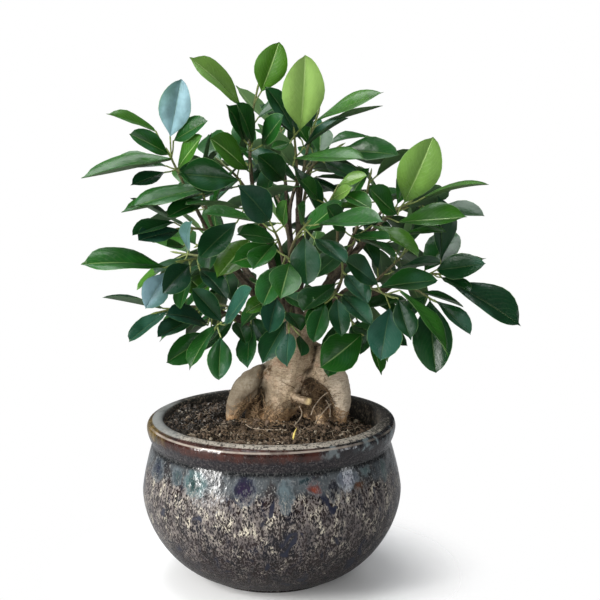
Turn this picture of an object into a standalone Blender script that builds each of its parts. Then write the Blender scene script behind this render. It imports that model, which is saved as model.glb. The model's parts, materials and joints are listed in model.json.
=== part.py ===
"""A ginseng fig grown as a bonsai in a round glazed pot, in metres with +Z up.

The origin is the centre of the pot's flat foot, and -Y is the front.
The pot is a turned shell filled with soil.
The plant stands in the soil on thick bare roots, and grafted boughs carry its leafy sprays.
Each spray is one node: a twig with its leaves grown onto it.
It starts a hair's breadth beyond the branch that carries it.
"""

import math
import random
from collections import namedtuple

import bmesh
import bpy
from mathutils import Matrix, Vector
from mathutils.bvhtree import BVHTree

# The pot
GAP = 0.0003
SOLVER = "EXACT"
POT_STEPS = 32
BELLY_RADIUS = 0.103
BELLY_HEIGHT = 0.0715
BELLY_BULGE = 1.14
BELLY_RISE = 1.08
FOOT_RADIUS = 0.0515
SHOULDER_TURN = 1.36
NECK_RADIUS = 0.0945
NECK_HEIGHT = 0.110
RIM_RADIUS = 0.0986
RIM_HEIGHT = 0.1295
MOUTH_RADIUS = 0.0852
WALL = 0.0075
FLOOR_HEIGHT = 0.009

# The soil
SOIL_EDGE_HEIGHT = 0.1125
SOIL_BANK_HEIGHT = 0.1240
SOIL_BANK_SHARE = 0.65
SOIL_LOW_SIDE = (0.94, 0.34)
SOIL_CROWN_HEIGHT = 0.1225
SOIL_CROWN_PLACE = (0.012, 0.020)
SOIL_CROWN_SPREAD = 0.048
SOIL_RELIEF = 0.0012
SOIL_RINGS = (0.022, 0.042, 0.062, 0.077)
ROOT_CLEARANCE = 0.0007

# The trunk and its bare roots: each limb runs through (x, y, z, radius)
TRUNK_LIMBS = {
    "front_lobe": (
        (0.003, 0.021, 0.094, 0.0090), (0.003, 0.020, 0.123, 0.0120), (0.005, 0.021, 0.139, 0.0140),
        (0.010, 0.022, 0.157, 0.0172), (0.015, 0.022, 0.176, 0.0185), (0.0175, 0.022, 0.194, 0.0165),
        (0.019, 0.022, 0.208, 0.0105),
    ),
    "right_lobe": (
        (0.013, 0.029, 0.118, 0.0060), (0.0148, 0.024, 0.137, 0.0070), (0.0180, 0.020, 0.150, 0.0095),
        (0.0192, 0.019, 0.167, 0.0132), (0.019, 0.021, 0.186, 0.0140),
    ),
    "left_root": (
        (0.006, 0.026, 0.159, 0.0110), (-0.008, 0.021, 0.1545, 0.0115), (-0.0195, 0.018, 0.1475, 0.0114),
        (-0.0276, 0.016, 0.137, 0.0086), (-0.0322, 0.015, 0.1235, 0.0056), (-0.036, 0.015, 0.098, 0.0042),
    ),
    "right_root": (
        (0.022, 0.024, 0.178, 0.0125), (0.038, 0.020, 0.166, 0.0138), (0.0506, 0.017, 0.152, 0.0114),
        (0.0552, 0.016, 0.138, 0.0086), (0.0552, 0.014, 0.1235, 0.0060), (0.0550, 0.013, 0.098, 0.0042),
    ),
    "back_root": (
        (0.014, 0.028, 0.180, 0.0130), (0.008, 0.044, 0.160, 0.0125), (0.004, 0.052, 0.140, 0.0095),
        (0.002, 0.055, 0.123, 0.0070), (0.001, 0.057, 0.098, 0.0045),
    ),
    "back_right_root": (
        (0.024, 0.030, 0.176, 0.0110), (0.036, 0.042, 0.158, 0.0105), (0.042, 0.049, 0.140, 0.0080),
        (0.045, 0.053, 0.122, 0.0060), (0.047, 0.056, 0.098, 0.0040),
    ),
    "right_mat": (
        (0.024, 0.032, 0.156, 0.0090), (0.033, 0.031, 0.140, 0.0125), (0.036, 0.031, 0.108, 0.0130),
    ),
    "left_mat": (
        (-0.006, 0.026, 0.146, 0.0085), (-0.012, 0.025, 0.128, 0.0095), (-0.013, 0.025, 0.104, 0.0095),
    ),
    "knobby_root": (
        (0.035, 0.025, 0.140, 0.0038), (0.0362, 0.012, 0.1345, 0.0040), (0.0385, 0.004, 0.1265, 0.0042),
        (0.0400, -0.002, 0.1195, 0.0038), (0.0405, -0.004, 0.104, 0.0030),
    ),
    "cut_root": (
        (0.0175, 0.017, 0.1415, 0.0046), (0.0240, 0.008, 0.1390, 0.0040), (0.0300, 0.001, 0.1365, 0.0036),
    ),
}
TRUNK_VOXEL = 0.0024
TRUNK_SMOOTHING = 6
TRUNK_TRIANGLES = 1150
SHARP_ANGLE = math.radians(50)

# The boughs grafted to the trunk's top, from first radius to last
Bough = namedtuple("Bough", "first_radius last_radius points")
BOUGHS = {
    "left_up": Bough(0.0042, 0.0022,
                     ((0.013, 0.021, 0.196), (0.000, 0.010, 0.250), (-0.011, -0.001, 0.292))),
    "left": Bough(0.0040, 0.0021,
                  ((0.010, 0.019, 0.192), (-0.018, 0.004, 0.232), (-0.042, -0.012, 0.266))),
    "low_left": Bough(0.0034, 0.0020,
                      ((0.006, 0.016, 0.188), (-0.010, 0.002, 0.200), (-0.026, -0.012, 0.208))),
    "top": Bough(0.0046, 0.0022,
                 ((0.019, 0.022, 0.200), (0.022, 0.016, 0.250), (0.021, 0.008, 0.292))),
    "right_up": Bough(0.0042, 0.0020,
                      ((0.024, 0.021, 0.196), (0.046, 0.012, 0.236), (0.070, 0.002, 0.264))),
    "right": Bough(0.0040, 0.0020,
                   ((0.025, 0.023, 0.190), (0.056, 0.020, 0.214), (0.090, 0.013, 0.228))),
    "front": Bough(0.0040, 0.0020,
                   ((0.016, 0.014, 0.192), (0.014, -0.012, 0.224), (0.011, -0.036, 0.248))),
    "front_right": Bough(0.0036, 0.0018,
                         ((0.023, 0.014, 0.190), (0.036, -0.006, 0.214), (0.050, -0.024, 0.228))),
    "back": Bough(0.0042, 0.0020,
                  ((0.018, 0.030, 0.194), (0.016, 0.054, 0.242), (0.012, 0.074, 0.284))),
    "back_right": Bough(0.0040, 0.0020,
                        ((0.024, 0.029, 0.192), (0.050, 0.054, 0.230), (0.072, 0.072, 0.256))),
    "back_left": Bough(0.0040, 0.0020,
                       ((0.011, 0.029, 0.192), (-0.016, 0.048, 0.230), (-0.038, 0.062, 0.258))),
    "back_low": Bough(0.0034, 0.0018,
                      ((0.019, 0.032, 0.184), (0.021, 0.054, 0.204), (0.023, 0.070, 0.214))),
}
BOUGH_SAMPLES = 2

# The sprays: the bough that carries each, how far along it, the twig's end, leaves set by rule, their length
Spray = namedtuple("Spray", "bough start tip leaves length")
SPRAYS = {
    "top_left": Spray("left", 1.0, (-0.076, -0.024, 0.338), 2, 0.046),
    "upper_left": Spray("left", 0.80, (-0.050, -0.046, 0.320), 3, 0.048),
    "left_side": Spray("left", 0.60, (-0.066, -0.040, 0.284), 2, 0.044),
    "left_mid": Spray("left", 0.40, (-0.066, -0.056, 0.262), 1, 0.044),
    "left_low": Spray("low_left", 1.0, (-0.084, -0.050, 0.222), 2, 0.044),
    "low_left": Spray("low_left", 0.70, (-0.040, -0.062, 0.213), 1, 0.044),
    "low_mid": Spray("low_left", 0.40, (-0.012, -0.040, 0.216), 1, 0.040),
    "mid_left": Spray("left_up", 0.60, (-0.020, -0.046, 0.300), 3, 0.046),
    "stem_left": Spray("left_up", 1.0, (-0.010, -0.010, 0.386), 1, 0.044),
    "top_main": Spray("top", 0.90, (0.018, -0.020, 0.354), 1, 0.046),
    "top_right_back": Spray("top", 0.72, (0.036, 0.012, 0.366), 3, 0.046),
    "top_right": Spray("top", 1.0, (0.052, 0.002, 0.342), 3, 0.046),
    "young_right": Spray("right_up", 0.40, (0.042, -0.036, 0.304), 1, 0.040),
    "right_top": Spray("right_up", 1.0, (0.104, -0.016, 0.300), 1, 0.044),
    "right_back": Spray("right_up", 0.80, (0.122, 0.028, 0.298), 3, 0.046),
    "right_far": Spray("right", 1.0, (0.138, 0.004, 0.242), 2, 0.046),
    "right_low": Spray("right", 0.80, (0.124, -0.018, 0.226), 1, 0.046),
    "right_low_front": Spray("front_right", 1.0, (0.088, -0.058, 0.236), 1, 0.044),
    "right_inner": Spray("right_up", 0.66, (0.062, -0.044, 0.278), 2, 0.044),
    "right_mid": Spray("front_right", 0.80, (0.054, -0.052, 0.258), 2, 0.044),
    "centre": Spray("front", 1.0, (0.004, -0.078, 0.287), 1, 0.042),
    "centre_front": Spray("front", 0.86, (0.014, -0.084, 0.268), 1, 0.042),
    "centre_right": Spray("front", 0.70, (0.028, -0.070, 0.292), 1, 0.044),
    "centre_low": Spray("front", 0.50, (0.004, -0.064, 0.236), 3, 0.040),
    "front_trunk": Spray("front", 0.25, (0.014, -0.046, 0.212), 1, 0.036),
    "low_centre_right": Spray("front_right", 0.60, (0.047, -0.072, 0.238), 1, 0.042),
    "low_right": Spray("front_right", 0.35, (0.068, -0.044, 0.206), 2, 0.042),
    "crown": Spray("top", 0.50, (0.040, 0.034, 0.344), 6, 0.046),
    "inner_left": Spray("left_up", 0.80, (-0.040, 0.010, 0.330), 5, 0.046),
    "inner_right": Spray("right_up", 0.55, (0.078, 0.024, 0.318), 5, 0.046),
    "side_left": Spray("left", 0.25, (-0.074, 0.012, 0.258), 6, 0.046),
    "side_left_low": Spray("low_left", 0.30, (-0.050, 0.010, 0.220), 5, 0.044),
    "side_right": Spray("right", 0.60, (0.108, 0.044, 0.254), 6, 0.046),
    "side_right_low": Spray("right", 0.40, (0.078, 0.006, 0.202), 5, 0.044),
    "back_top": Spray("back", 1.0, (0.006, 0.100, 0.352), 6, 0.048),
    "back_crown": Spray("back", 0.80, (0.044, 0.074, 0.336), 5, 0.046),
    "back_crown_left": Spray("back", 0.65, (-0.026, 0.076, 0.326), 6, 0.046),
    "back_mid": Spray("back", 0.40, (0.006, 0.110, 0.274), 6, 0.048),
    "back_left_top": Spray("back_left", 1.0, (-0.074, 0.082, 0.302), 6, 0.046),
    "back_left_mid": Spray("back_left", 0.75, (-0.064, 0.092, 0.252), 6, 0.046),
    "back_left_low": Spray("back_left", 0.45, (-0.056, 0.056, 0.222), 6, 0.046),
    "back_right_top": Spray("back_right", 1.0, (0.108, 0.092, 0.298), 6, 0.046),
    "back_right_mid": Spray("back_right", 0.75, (0.104, 0.092, 0.248), 6, 0.048),
    "back_right_low": Spray("back_right", 0.45, (0.076, 0.072, 0.214), 6, 0.046),
    "back_low": Spray("back_low", 1.0, (0.028, 0.104, 0.228), 6, 0.046),
    "back_low_left": Spray("back_low", 0.6, (-0.014, 0.088, 0.222), 5, 0.044),
}
TWIG_STEPS = 4
BRANCH_STEPS = 1
TWIG_LIFT = 0.16
TWIG_KNEE = 0.45
MOST_BEND = 0.5
BRANCH_RADIUS = 0.0016
TWIG_RADIUS = 0.0013
TWIG_END_RADIUS = 0.0008

# Leaves aimed one by one from the front view: pixels of the blade's base and tip, the pixels its width shows,
# and its real length in millimetres, which turns it towards the viewer by what is seen foreshortened
Seen = namedtuple("Seen", "base_x base_y tip_x tip_y width length")
VIEW_PLACE = Vector((0.0224, -1.110, 0.424))
VIEW_PITCH = math.radians(10.3)
VIEW_FOCAL = 1437
VIEW_MIDDLE = 300
SEEN_BEFORE_TWIG = 0.003
SEEN_NARROWEST = 0.48
SEEN_SIDEWAYS = 3
DEPTH_NUDGE = 0.012
TIP_NUDGE = 8
LEAN_NUDGE = 0.025
ROLL_NUDGE = 0.5
SEEN_LEAVES = {
    "top_left": (
        Seen(170, 137, 181, 79, 31, 50),
        Seen(156, 131, 106, 113, 10, 44),
        Seen(170, 155, 129, 134, 18, 42),
        Seen(172, 158, 81, 180, 18, 76),
        Seen(173, 141, 205, 120, 20, 40),
        Seen(178, 168, 203, 136, 18, 40),
        Seen(165, 172, 130, 186, 17, 36),
    ),
    "upper_left": (
        Seen(203, 188, 130, 205, 20, 64),
        Seen(200, 194, 121, 214, 18, 68),
        Seen(205, 200, 165, 215, 17, 46),
        Seen(212, 190, 176, 170, 24, 44),
    ),
    "left_side": (
        Seen(180, 230, 138, 240, 17, 46),
        Seen(174, 222, 132, 234, 12, 44),
        Seen(184, 246, 166, 247, 10, 26),
    ),
    "left_mid": (
        Seen(188, 250, 191, 221, 14, 34),
        Seen(190, 265, 163, 293, 28, 44),
        Seen(190, 272, 181, 308, 16, 40),
        Seen(166, 267, 81, 262, 18, 68),
        Seen(166, 272, 146, 308, 28, 42),
        Seen(200, 270, 228, 300, 20, 40),
    ),
    "left_low": (
        Seen(168, 311, 129, 342, 14, 46),
        Seen(195, 318, 157, 338, 20, 44),
        Seen(208, 325, 168, 312, 22, 44),
        Seen(211, 334, 166, 363, 28, 48),
    ),
    "low_left": (
        Seen(221, 337, 219, 380, 25, 42),
        Seen(224, 325, 253, 288, 20, 46),
        Seen(222, 322, 196, 290, 18, 42),
        Seen(236, 322, 246, 345, 18, 34),
    ),
    "low_mid": (
        Seen(252, 318, 268, 345, 20, 34),
    ),
    "mid_left": (
        Seen(240, 180, 178, 172, 30, 55),
        Seen(250, 240, 212, 281, 24, 50),
        Seen(237, 222, 199, 258, 26, 46),
    ),
    "stem_left": (
        Seen(242, 108, 191, 56, 16, 58),
        Seen(244, 140, 227, 104, 14, 42),
        Seen(250, 172, 208, 132, 15, 54),
        Seen(261, 92, 279, 42, 32, 44),
        Seen(262, 145, 284, 115, 20, 40),
        Seen(250, 150, 218, 158, 14, 40),
        Seen(253, 143, 236, 101, 16, 46),
    ),
    "top_main": (
        Seen(300, 130, 305, 55, 42, 62),
        Seen(295, 135, 264, 88, 20, 46),
        Seen(294, 158, 366, 155, 20, 62),
        Seen(284, 181, 258, 155, 25, 42),
        Seen(293, 165, 318, 212, 20, 54),
        Seen(290, 143, 264, 145, 10, 30),
    ),
    "top_right_back": (
        Seen(316, 120, 383, 90, 17, 58),
        Seen(312, 128, 300, 95, 22, 40),
    ),
    "top_right": (
        Seen(340, 150, 399, 154, 25, 50),
        Seen(324, 162, 357, 180, 18, 40),
    ),
    "young_right": (
        Seen(331, 199, 353, 187, 12, 24),
        Seen(338, 185, 366, 174, 14, 28),
        Seen(340, 192, 372, 210, 16, 36),
        Seen(330, 208, 372, 205, 10, 40),
        Seen(318, 200, 300, 180, 14, 34),
    ),
    "right_top": (
        Seen(404, 203, 433, 137, 42, 62),
        Seen(424, 197, 489, 183, 8, 56),
        Seen(398, 222, 468, 218, 18, 58),
        Seen(400, 235, 447, 232, 9, 40),
        Seen(398, 215, 372, 190, 18, 36),
    ),
    "right_back": (
        Seen(430, 210, 485, 217, 14, 50),
    ),
    "right_far": (
        Seen(441, 262, 438, 197, 27, 54),
        Seen(436, 270, 485, 263, 26, 46),
        Seen(448, 282, 522, 325, 27, 70),
        Seen(441, 277, 470, 290, 14, 40),
    ),
    "right_low": (
        Seen(430, 300, 436, 373, 40, 62),
        Seen(435, 300, 470, 336, 15, 46),
        Seen(426, 296, 402, 320, 16, 34),
    ),
    "right_low_front": (
        Seen(390, 307, 381, 360, 36, 48),
        Seen(400, 290, 450, 355, 18, 66),
        Seen(398, 298, 411, 341, 22, 44),
        Seen(378, 285, 345, 260, 20, 42),
    ),
    "right_inner": (
        Seen(372, 225, 419, 256, 18, 50),
        Seen(352, 236, 390, 240, 14, 42),
        Seen(346, 232, 326, 206, 16, 36),
    ),
    "right_mid": (
        Seen(352, 274, 392, 305, 20, 48),
        Seen(350, 262, 386, 266, 20, 40),
    ),
    "centre": (
        Seen(275, 240, 237, 234, 16, 40),
        Seen(270, 221, 238, 185, 33, 50),
        Seen(262, 222, 201, 215, 10, 50),
        Seen(283, 226, 286, 200, 14, 26),
    ),
    "centre_front": (
        Seen(290, 262, 280, 300, 33, 46),
        Seen(277, 250, 230, 263, 25, 44),
    ),
    "centre_right": (
        Seen(318, 224, 385, 223, 14, 58),
        Seen(305, 236, 307, 284, 31, 50),
        Seen(304, 222, 297, 205, 14, 34),
        Seen(314, 238, 346, 262, 20, 42),
    ),
    "centre_low": (
        Seen(277, 297, 269, 333, 25, 40),
        Seen(270, 299, 246, 312, 16, 30),
    ),
    "front_trunk": (
        Seen(289, 333, 287, 367, 20, 40),
        Seen(300, 335, 301, 357, 13, 30),
        Seen(286, 312, 301, 330, 16, 36),
    ),
    "low_centre_right": (
        Seen(325, 303, 313, 343, 22, 38),
        Seen(337, 298, 342, 336, 22, 38),
        Seen(342, 295, 372, 325, 20, 42),
    ),
    "low_right": (
        Seen(363, 333, 319, 368, 38, 52),
        Seen(352, 325, 378, 335, 18, 38),
    ),
}

# The leaf's form
LEAF_THICKNESS = 0.0013
LEAF_STATIONS = (0.33, 0.74)
LEAF_WIDTH_SHARE = 0.50
LEAF_WIDTH_PLAY = (0.94, 1.12)
LEAF_LENGTH_PLAY = 0.14
LEAF_ARCH = 0.07
LEAF_FOLD = 0.16
LEAF_DROOP = 0.18
LEAF_DROOP_PLAY = 0.2
PETIOLE_LENGTH = 0.008
PETIOLE_HALF = 0.0008
PETIOLE_TAPER = 0.45
PETIOLE_DEPTH = 1.4
PETIOLE_FOLLOWS = 0.4
LONGEST_PETIOLE = 0.024
SHARPEST_TURN = 0.15

# How leaves set by rule follow the twig: where they start, how they turn round it and open away from it
FIRST_LEAF = 0.20
LEAF_SPAN = 0.77
GOLDEN_ANGLE = math.radians(137.5)
AZIMUTH_PLAY = 0.3
LOOSE_AZIMUTH = 2.5
OPENING = math.radians(78)
OPENING_CLOSES = math.radians(44)
LOOSE_OPENING = 0.5
LOOSE_SHRINK = 0.25
CROWN_MIDDLE = (0.020, 0.015)
OUTWARD_PULL = 6
FACE_PLAY = 0.35

# How leaves keep clear of what is there before them
LEAF_CLEARANCE = 0.0009
LOWEST_LEAF = 0.136
TRIES = 80
SPOTS = 20
BAR_SIDES = 5
WIDEST_REACH = 0.3
SEED = 11
STALK_FACES = 7

Leaf = namedtuple("Leaf", "spray root base tip face width")
Taken = namedtuple("Taken", "spray middle reach tree blade")


def clear_scene():
    for thing in list(bpy.data.objects):
        bpy.data.objects.remove(thing, do_unlink=True)


def new_collection(name):
    collection = bpy.data.collections.new(name)
    bpy.context.scene.collection.children.link(collection)
    return collection


def new_material(name, colour, roughness):
    material = bpy.data.materials.new(name)
    material.use_nodes = True
    shader = material.node_tree.nodes["Principled BSDF"]
    shader.inputs["Base Color"].default_value = (*colour, 1.0)
    shader.inputs["Roughness"].default_value = roughness
    return material


def object_from(name, vertices, faces, collection):
    """A mesh object whose faces point outwards."""
    mesh = bpy.data.meshes.new(name)
    mesh.from_pydata(vertices, [], faces)
    shape = bmesh.new()
    shape.from_mesh(mesh)
    bmesh.ops.recalc_face_normals(shape, faces=shape.faces)
    shape.to_mesh(mesh)
    shape.free()
    thing = bpy.data.objects.new(name, mesh)
    collection.objects.link(thing)
    return thing


def evaluated_copy(source, name, collection):
    """A plain mesh object of what the source's modifiers or curve settings make, in place of the source."""
    graph = bpy.context.evaluated_depsgraph_get()
    mesh = bpy.data.meshes.new_from_object(source.evaluated_get(graph))
    mesh.name = name
    shape = bmesh.new()
    shape.from_mesh(mesh)
    if source.type == "CURVE":
        bmesh.ops.remove_doubles(shape, verts=shape.verts, dist=0.000001)
    bmesh.ops.recalc_face_normals(shape, faces=shape.faces)
    shape.to_mesh(mesh)
    shape.free()
    thing = bpy.data.objects.new(name, mesh)
    thing.matrix_world = source.matrix_world.copy()
    collection.objects.link(thing)
    bpy.data.objects.remove(source, do_unlink=True)
    thing.name = name
    return thing


def tube(name, points, radii, resolution, collection):
    """A tapered round bar through the points, as a mesh."""
    curve = bpy.data.curves.new(name, "CURVE")
    curve.dimensions = "3D"
    curve.bevel_depth = 1.0
    curve.bevel_resolution = resolution
    curve.use_fill_caps = True
    spline = curve.splines.new("POLY")
    spline.points.add(len(points) - 1)
    for spot, place, radius in zip(spline.points, points, radii):
        spot.co = (*place, 1.0)
        spot.radius = radius
    bar = bpy.data.objects.new(name, curve)
    collection.objects.link(bar)
    return evaluated_copy(bar, name, collection)


def unite(target, others, collection):
    """Joins the others to the target for good, by one Boolean on a collection of them."""
    group = bpy.data.collections.new("joining")
    bpy.context.scene.collection.children.link(group)
    for other in others:
        group.objects.link(other)
    union = target.modifiers.new("union", "BOOLEAN")
    union.operation = "UNION"
    union.operand_type = "COLLECTION"
    union.collection = group
    union.solver = SOLVER
    joined = evaluated_copy(target, target.name, collection)
    for other in others:
        bpy.data.objects.remove(other, do_unlink=True)
    bpy.data.collections.remove(group)
    return joined


def turned(name, profile, collection):
    """A profile of (radius, height) turned about Z, from the axis at the inside to the axis at the foot."""
    mesh = bpy.data.meshes.new(name)
    vertices = [(radius, 0.0, height) for radius, height in profile]
    mesh.from_pydata(vertices, [(i, i + 1) for i in range(len(vertices) - 1)], [])
    thing = bpy.data.objects.new(name, mesh)
    collection.objects.link(thing)
    screw = thing.modifiers.new("turn", "SCREW")
    screw.steps = POT_STEPS
    screw.render_steps = POT_STEPS
    screw.use_merge_vertices = True
    screw.merge_threshold = 0.00001
    screw.use_smooth_shade = True
    return thing


def belly_curve(angle):
    """The pot's lower body, from the foot at 0 to the widest ring at a right angle."""
    inner = FOOT_RADIUS * 0.8
    radius = inner + (BELLY_RADIUS - inner) * math.sin(angle) ** BELLY_BULGE
    return radius, BELLY_HEIGHT * (1 - max(math.cos(angle), 0.0) ** BELLY_RISE)


def shoulder_radius(height):
    share = (height - BELLY_HEIGHT) / (NECK_HEIGHT - BELLY_HEIGHT)
    return BELLY_RADIUS - (BELLY_RADIUS - NECK_RADIUS) * share**SHOULDER_TURN


def outer_profile():
    """The outside of the body from the neck down to the foot's edge."""
    shoulder = [NECK_HEIGHT, 0.097, 0.088]
    lower = [math.pi / 2 * share for share in (1.0, 0.88, 0.76, 0.63, 0.49, 0.34, 0.20)]
    points = [(shoulder_radius(height), height) for height in shoulder]
    return points + [belly_curve(angle) for angle in lower] + [(FOOT_RADIUS, 0.0)]


def inner_profile():
    """The inside of the body from the floor's middle up to the mouth."""
    lower = [math.pi / 2 * share for share in (0.46, 0.62, 0.80, 1.0)]
    side = [(radius - WALL, height) for radius, height in map(belly_curve, lower)]
    return ([(0.0, FLOOR_HEIGHT), (0.048, FLOOR_HEIGHT + 0.001)] + side
            + [(shoulder_radius(0.096) - WALL - 0.001, 0.096), (MOUTH_RADIUS, 0.109)])


def rim_profile():
    """The rolled rim, from the mouth over the top to the outer lip's lower edge."""
    return [(MOUTH_RADIUS, RIM_HEIGHT - 0.0030), (MOUTH_RADIUS + 0.0012, RIM_HEIGHT - 0.0006),
            (MOUTH_RADIUS + 0.0060, RIM_HEIGHT), (RIM_RADIUS - 0.0035, RIM_HEIGHT - 0.0006),
            (RIM_RADIUS - 0.0008, RIM_HEIGHT - 0.0026), (RIM_RADIUS, RIM_HEIGHT - 0.0065),
            (RIM_RADIUS - 0.0010, RIM_HEIGHT - 0.0125), (RIM_RADIUS - 0.0026, RIM_HEIGHT - 0.0165)]


def make_pot(collection):
    profile = inner_profile() + rim_profile() + outer_profile() + [(0.0, 0.0)]
    return turned("pot", profile, collection)


def soil_height(x, y):
    """The soil's surface: a crown round the trunk, a bank along the wall with its low place at the right, clods."""
    to_low_side = (x * SOIL_LOW_SIDE[0] + y * SOIL_LOW_SIDE[1]) / MOUTH_RADIUS
    bank = min(SOIL_BANK_SHARE * (1 - to_low_side), 1.0)
    edge = SOIL_EDGE_HEIGHT + (SOIL_BANK_HEIGHT - SOIL_EDGE_HEIGHT) * bank
    away = (x - SOIL_CROWN_PLACE[0]) ** 2 + (y - SOIL_CROWN_PLACE[1]) ** 2
    crown = math.exp(-away / (2 * SOIL_CROWN_SPREAD**2))
    clods = (math.sin(95 * x + 1.3) * math.sin(83 * y + 0.4) + 0.7 * math.sin(171 * x - 97 * y)
             + 0.5 * math.sin(150 * y + 61 * x + 2.0))
    return edge + (SOIL_CROWN_HEIGHT - edge) * crown + SOIL_RELIEF * clods


def make_soil(trunk, collection):
    """The soil fills the pot, a hair's breadth inside its wall, and is cut out round the roots."""
    side = [(max(radius - GAP, 0.0), height + GAP) for radius, height in inner_profile()]
    top = [(MOUTH_RADIUS - GAP, SOIL_EDGE_HEIGHT)]
    top += [(radius, SOIL_EDGE_HEIGHT) for radius in reversed(SOIL_RINGS)] + [(0.0, SOIL_EDGE_HEIGHT)]
    soil = turned("soil", list(reversed(side + top)), collection)
    soil = evaluated_copy(soil, "soil", collection)
    for vertex in soil.data.vertices:
        if vertex.co.z > SOIL_EDGE_HEIGHT - 0.0005:
            vertex.co.z = soil_height(vertex.co.x, vertex.co.y)
    shape = bmesh.new()
    shape.from_mesh(soil.data)
    bmesh.ops.recalc_face_normals(shape, faces=shape.faces)
    shape.to_mesh(soil.data)
    shape.free()
    hole = trunk.copy()
    hole.data = trunk.data.copy()
    hole.name = "root_hole"
    collection.objects.link(hole)
    normals = [vertex.normal.copy() for vertex in hole.data.vertices]
    for vertex, normal in zip(hole.data.vertices, normals):
        vertex.co += normal * ROOT_CLEARANCE
    cut = soil.modifiers.new("roots", "BOOLEAN")
    cut.operation = "DIFFERENCE"
    cut.object = hole
    soil = evaluated_copy(soil, "soil", collection)
    bpy.data.objects.remove(hole, do_unlink=True)
    return soil


def smooth_path(points, samples):
    """Points on a smooth curve through the given ones, with as many steps as asked between each two."""
    points = [Vector(point) for point in points]
    ends = [2 * points[0] - points[1]] + points + [2 * points[-1] - points[-2]]
    path = []
    for before, first, second, after in zip(ends, ends[1:], ends[2:], ends[3:]):
        for step in range(samples):
            t = step / samples
            path.append(0.5 * (2 * first + (second - before) * t
                               + (2 * before - 5 * first + 4 * second - after) * t**2
                               + (3 * first - before - 3 * second + after) * t**3))
    return path + [points[-1]]


def along(path, share):
    """The point at a share of the path's steps, and the path's direction there."""
    spot = min(share * (len(path) - 1), len(path) - 1.001)
    step = int(spot)
    leg = path[step + 1] - path[step]
    return path[step] + leg * (spot - step), leg.normalized()


def bough_path(name):
    return smooth_path(BOUGHS[name].points, BOUGH_SAMPLES)


def bough_radii(name, count):
    bough = BOUGHS[name]
    thinning = (bough.last_radius - bough.first_radius) / (count - 1)
    return [bough.first_radius + thinning * i for i in range(count)]


def spray_path(spray, draw, bend):
    """The way of a branch and its twig: out along the bough's run, then up and over to the twig's tip."""
    start, heading = along(bough_path(spray.bough), spray.start)
    end = Vector(spray.tip)
    reach = (end - start).length
    knee = start + heading * reach * TWIG_KNEE + Vector((0, 0, TWIG_LIFT * reach))
    knee += bend * reach * Vector((draw.uniform(-1, 1), draw.uniform(-1, 1), draw.uniform(-1, 1)))
    steps = [i / TWIG_STEPS for i in range(TWIG_STEPS + 1)]
    return [(1 - t) ** 2 * start + 2 * t * (1 - t) * knee + t**2 * end for t in steps]


def split_path(path):
    """The branch that the bough keeps and the twig beyond it, parted by the gap in the middle of one leg."""
    first, second = path[BRANCH_STEPS], path[BRANCH_STEPS + 1]
    middle = (first + second) / 2
    half_gap = (second - first).normalized() * GAP / 2
    return path[: BRANCH_STEPS + 1] + [middle - half_gap], [middle + half_gap] + path[BRANCH_STEPS + 1 :]


def bar_tree(path, radius):
    """A bar round the path, for telling what it would touch."""
    vertices = []
    for i, point in enumerate(path):
        run = (path[min(i + 1, len(path) - 1)] - path[max(i - 1, 0)]).normalized()
        side = run.orthogonal().normalized()
        other = run.cross(side)
        for k in range(BAR_SIDES):
            turn = 2 * math.pi * k / BAR_SIDES
            vertices.append(point + radius * (math.cos(turn) * side + math.sin(turn) * other))
    faces = []
    for i in range(len(path) - 1):
        for k in range(BAR_SIDES):
            a, b = BAR_SIDES * i + k, BAR_SIDES * i + (k + 1) % BAR_SIDES
            faces += [(a, b, b + BAR_SIDES), (a, b + BAR_SIDES, a + BAR_SIDES)]
    tree = BVHTree.FromPolygons(vertices, faces)
    return Taken("", sum(path, Vector()) / len(path), WIDEST_REACH, tree, False)


def touches(first, second):
    if (first.middle - second.middle).length > first.reach + second.reach:
        return False
    return bool(first.tree.overlap(second.tree))


def lay_out_twigs():
    """The path of every spray's branch and twig, bent clear of the other wood, and all the wood as bars."""
    draw = random.Random(SEED)
    wood = []
    for points in TRUNK_LIMBS.values():
        for first, second in zip(points, points[1:]):
            radius = max(first[3], second[3]) + LEAF_CLEARANCE
            wood.append(bar_tree([Vector(first[:3]), Vector(second[:3])], radius))
    for name in BOUGHS:
        wood.append(bar_tree(bough_path(name), BOUGHS[name].first_radius + LEAF_CLEARANCE))
    paths = {}
    for name, spray in SPRAYS.items():
        for attempt in range(TRIES):
            path = spray_path(spray, draw, MOST_BEND * attempt / TRIES)
            branch, twig = split_path(path)
            bar = bar_tree(twig, TWIG_RADIUS + GAP)
            if not any(touches(bar, other) for other in wood):
                break
        paths[name] = path
        wood.append(bar_tree(branch, BRANCH_RADIUS + GAP))
        wood.append(bar_tree(twig, TWIG_RADIUS + GAP)._replace(spray=name))
    return paths, wood


def unproject(x, y, depth):
    """The point at this depth behind the pot's axis that shows at a pixel of the front view."""
    right = (x - VIEW_MIDDLE) / VIEW_FOCAL
    up = (VIEW_MIDDLE - y) / VIEW_FOCAL
    cos, sin = math.cos(VIEW_PITCH), math.sin(VIEW_PITCH)
    ray = Vector((right, cos + up * sin, up * cos - sin))
    return VIEW_PLACE + ray * ((depth - VIEW_PLACE.y) / ray.y)


def project(point):
    """The pixel of the front view where a point shows."""
    ray = point - VIEW_PLACE
    cos, sin = math.cos(VIEW_PITCH), math.sin(VIEW_PITCH)
    away = ray.y * cos - ray.z * sin
    up = ray.y * sin + ray.z * cos
    return VIEW_MIDDLE + VIEW_FOCAL * ray.x / away, VIEW_MIDDLE - VIEW_FOCAL * up / away


def square_to(direction, along_this):
    """The part of a direction that is square to another, one long."""
    return (direction - along_this * direction.dot(along_this)).normalized()


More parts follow.
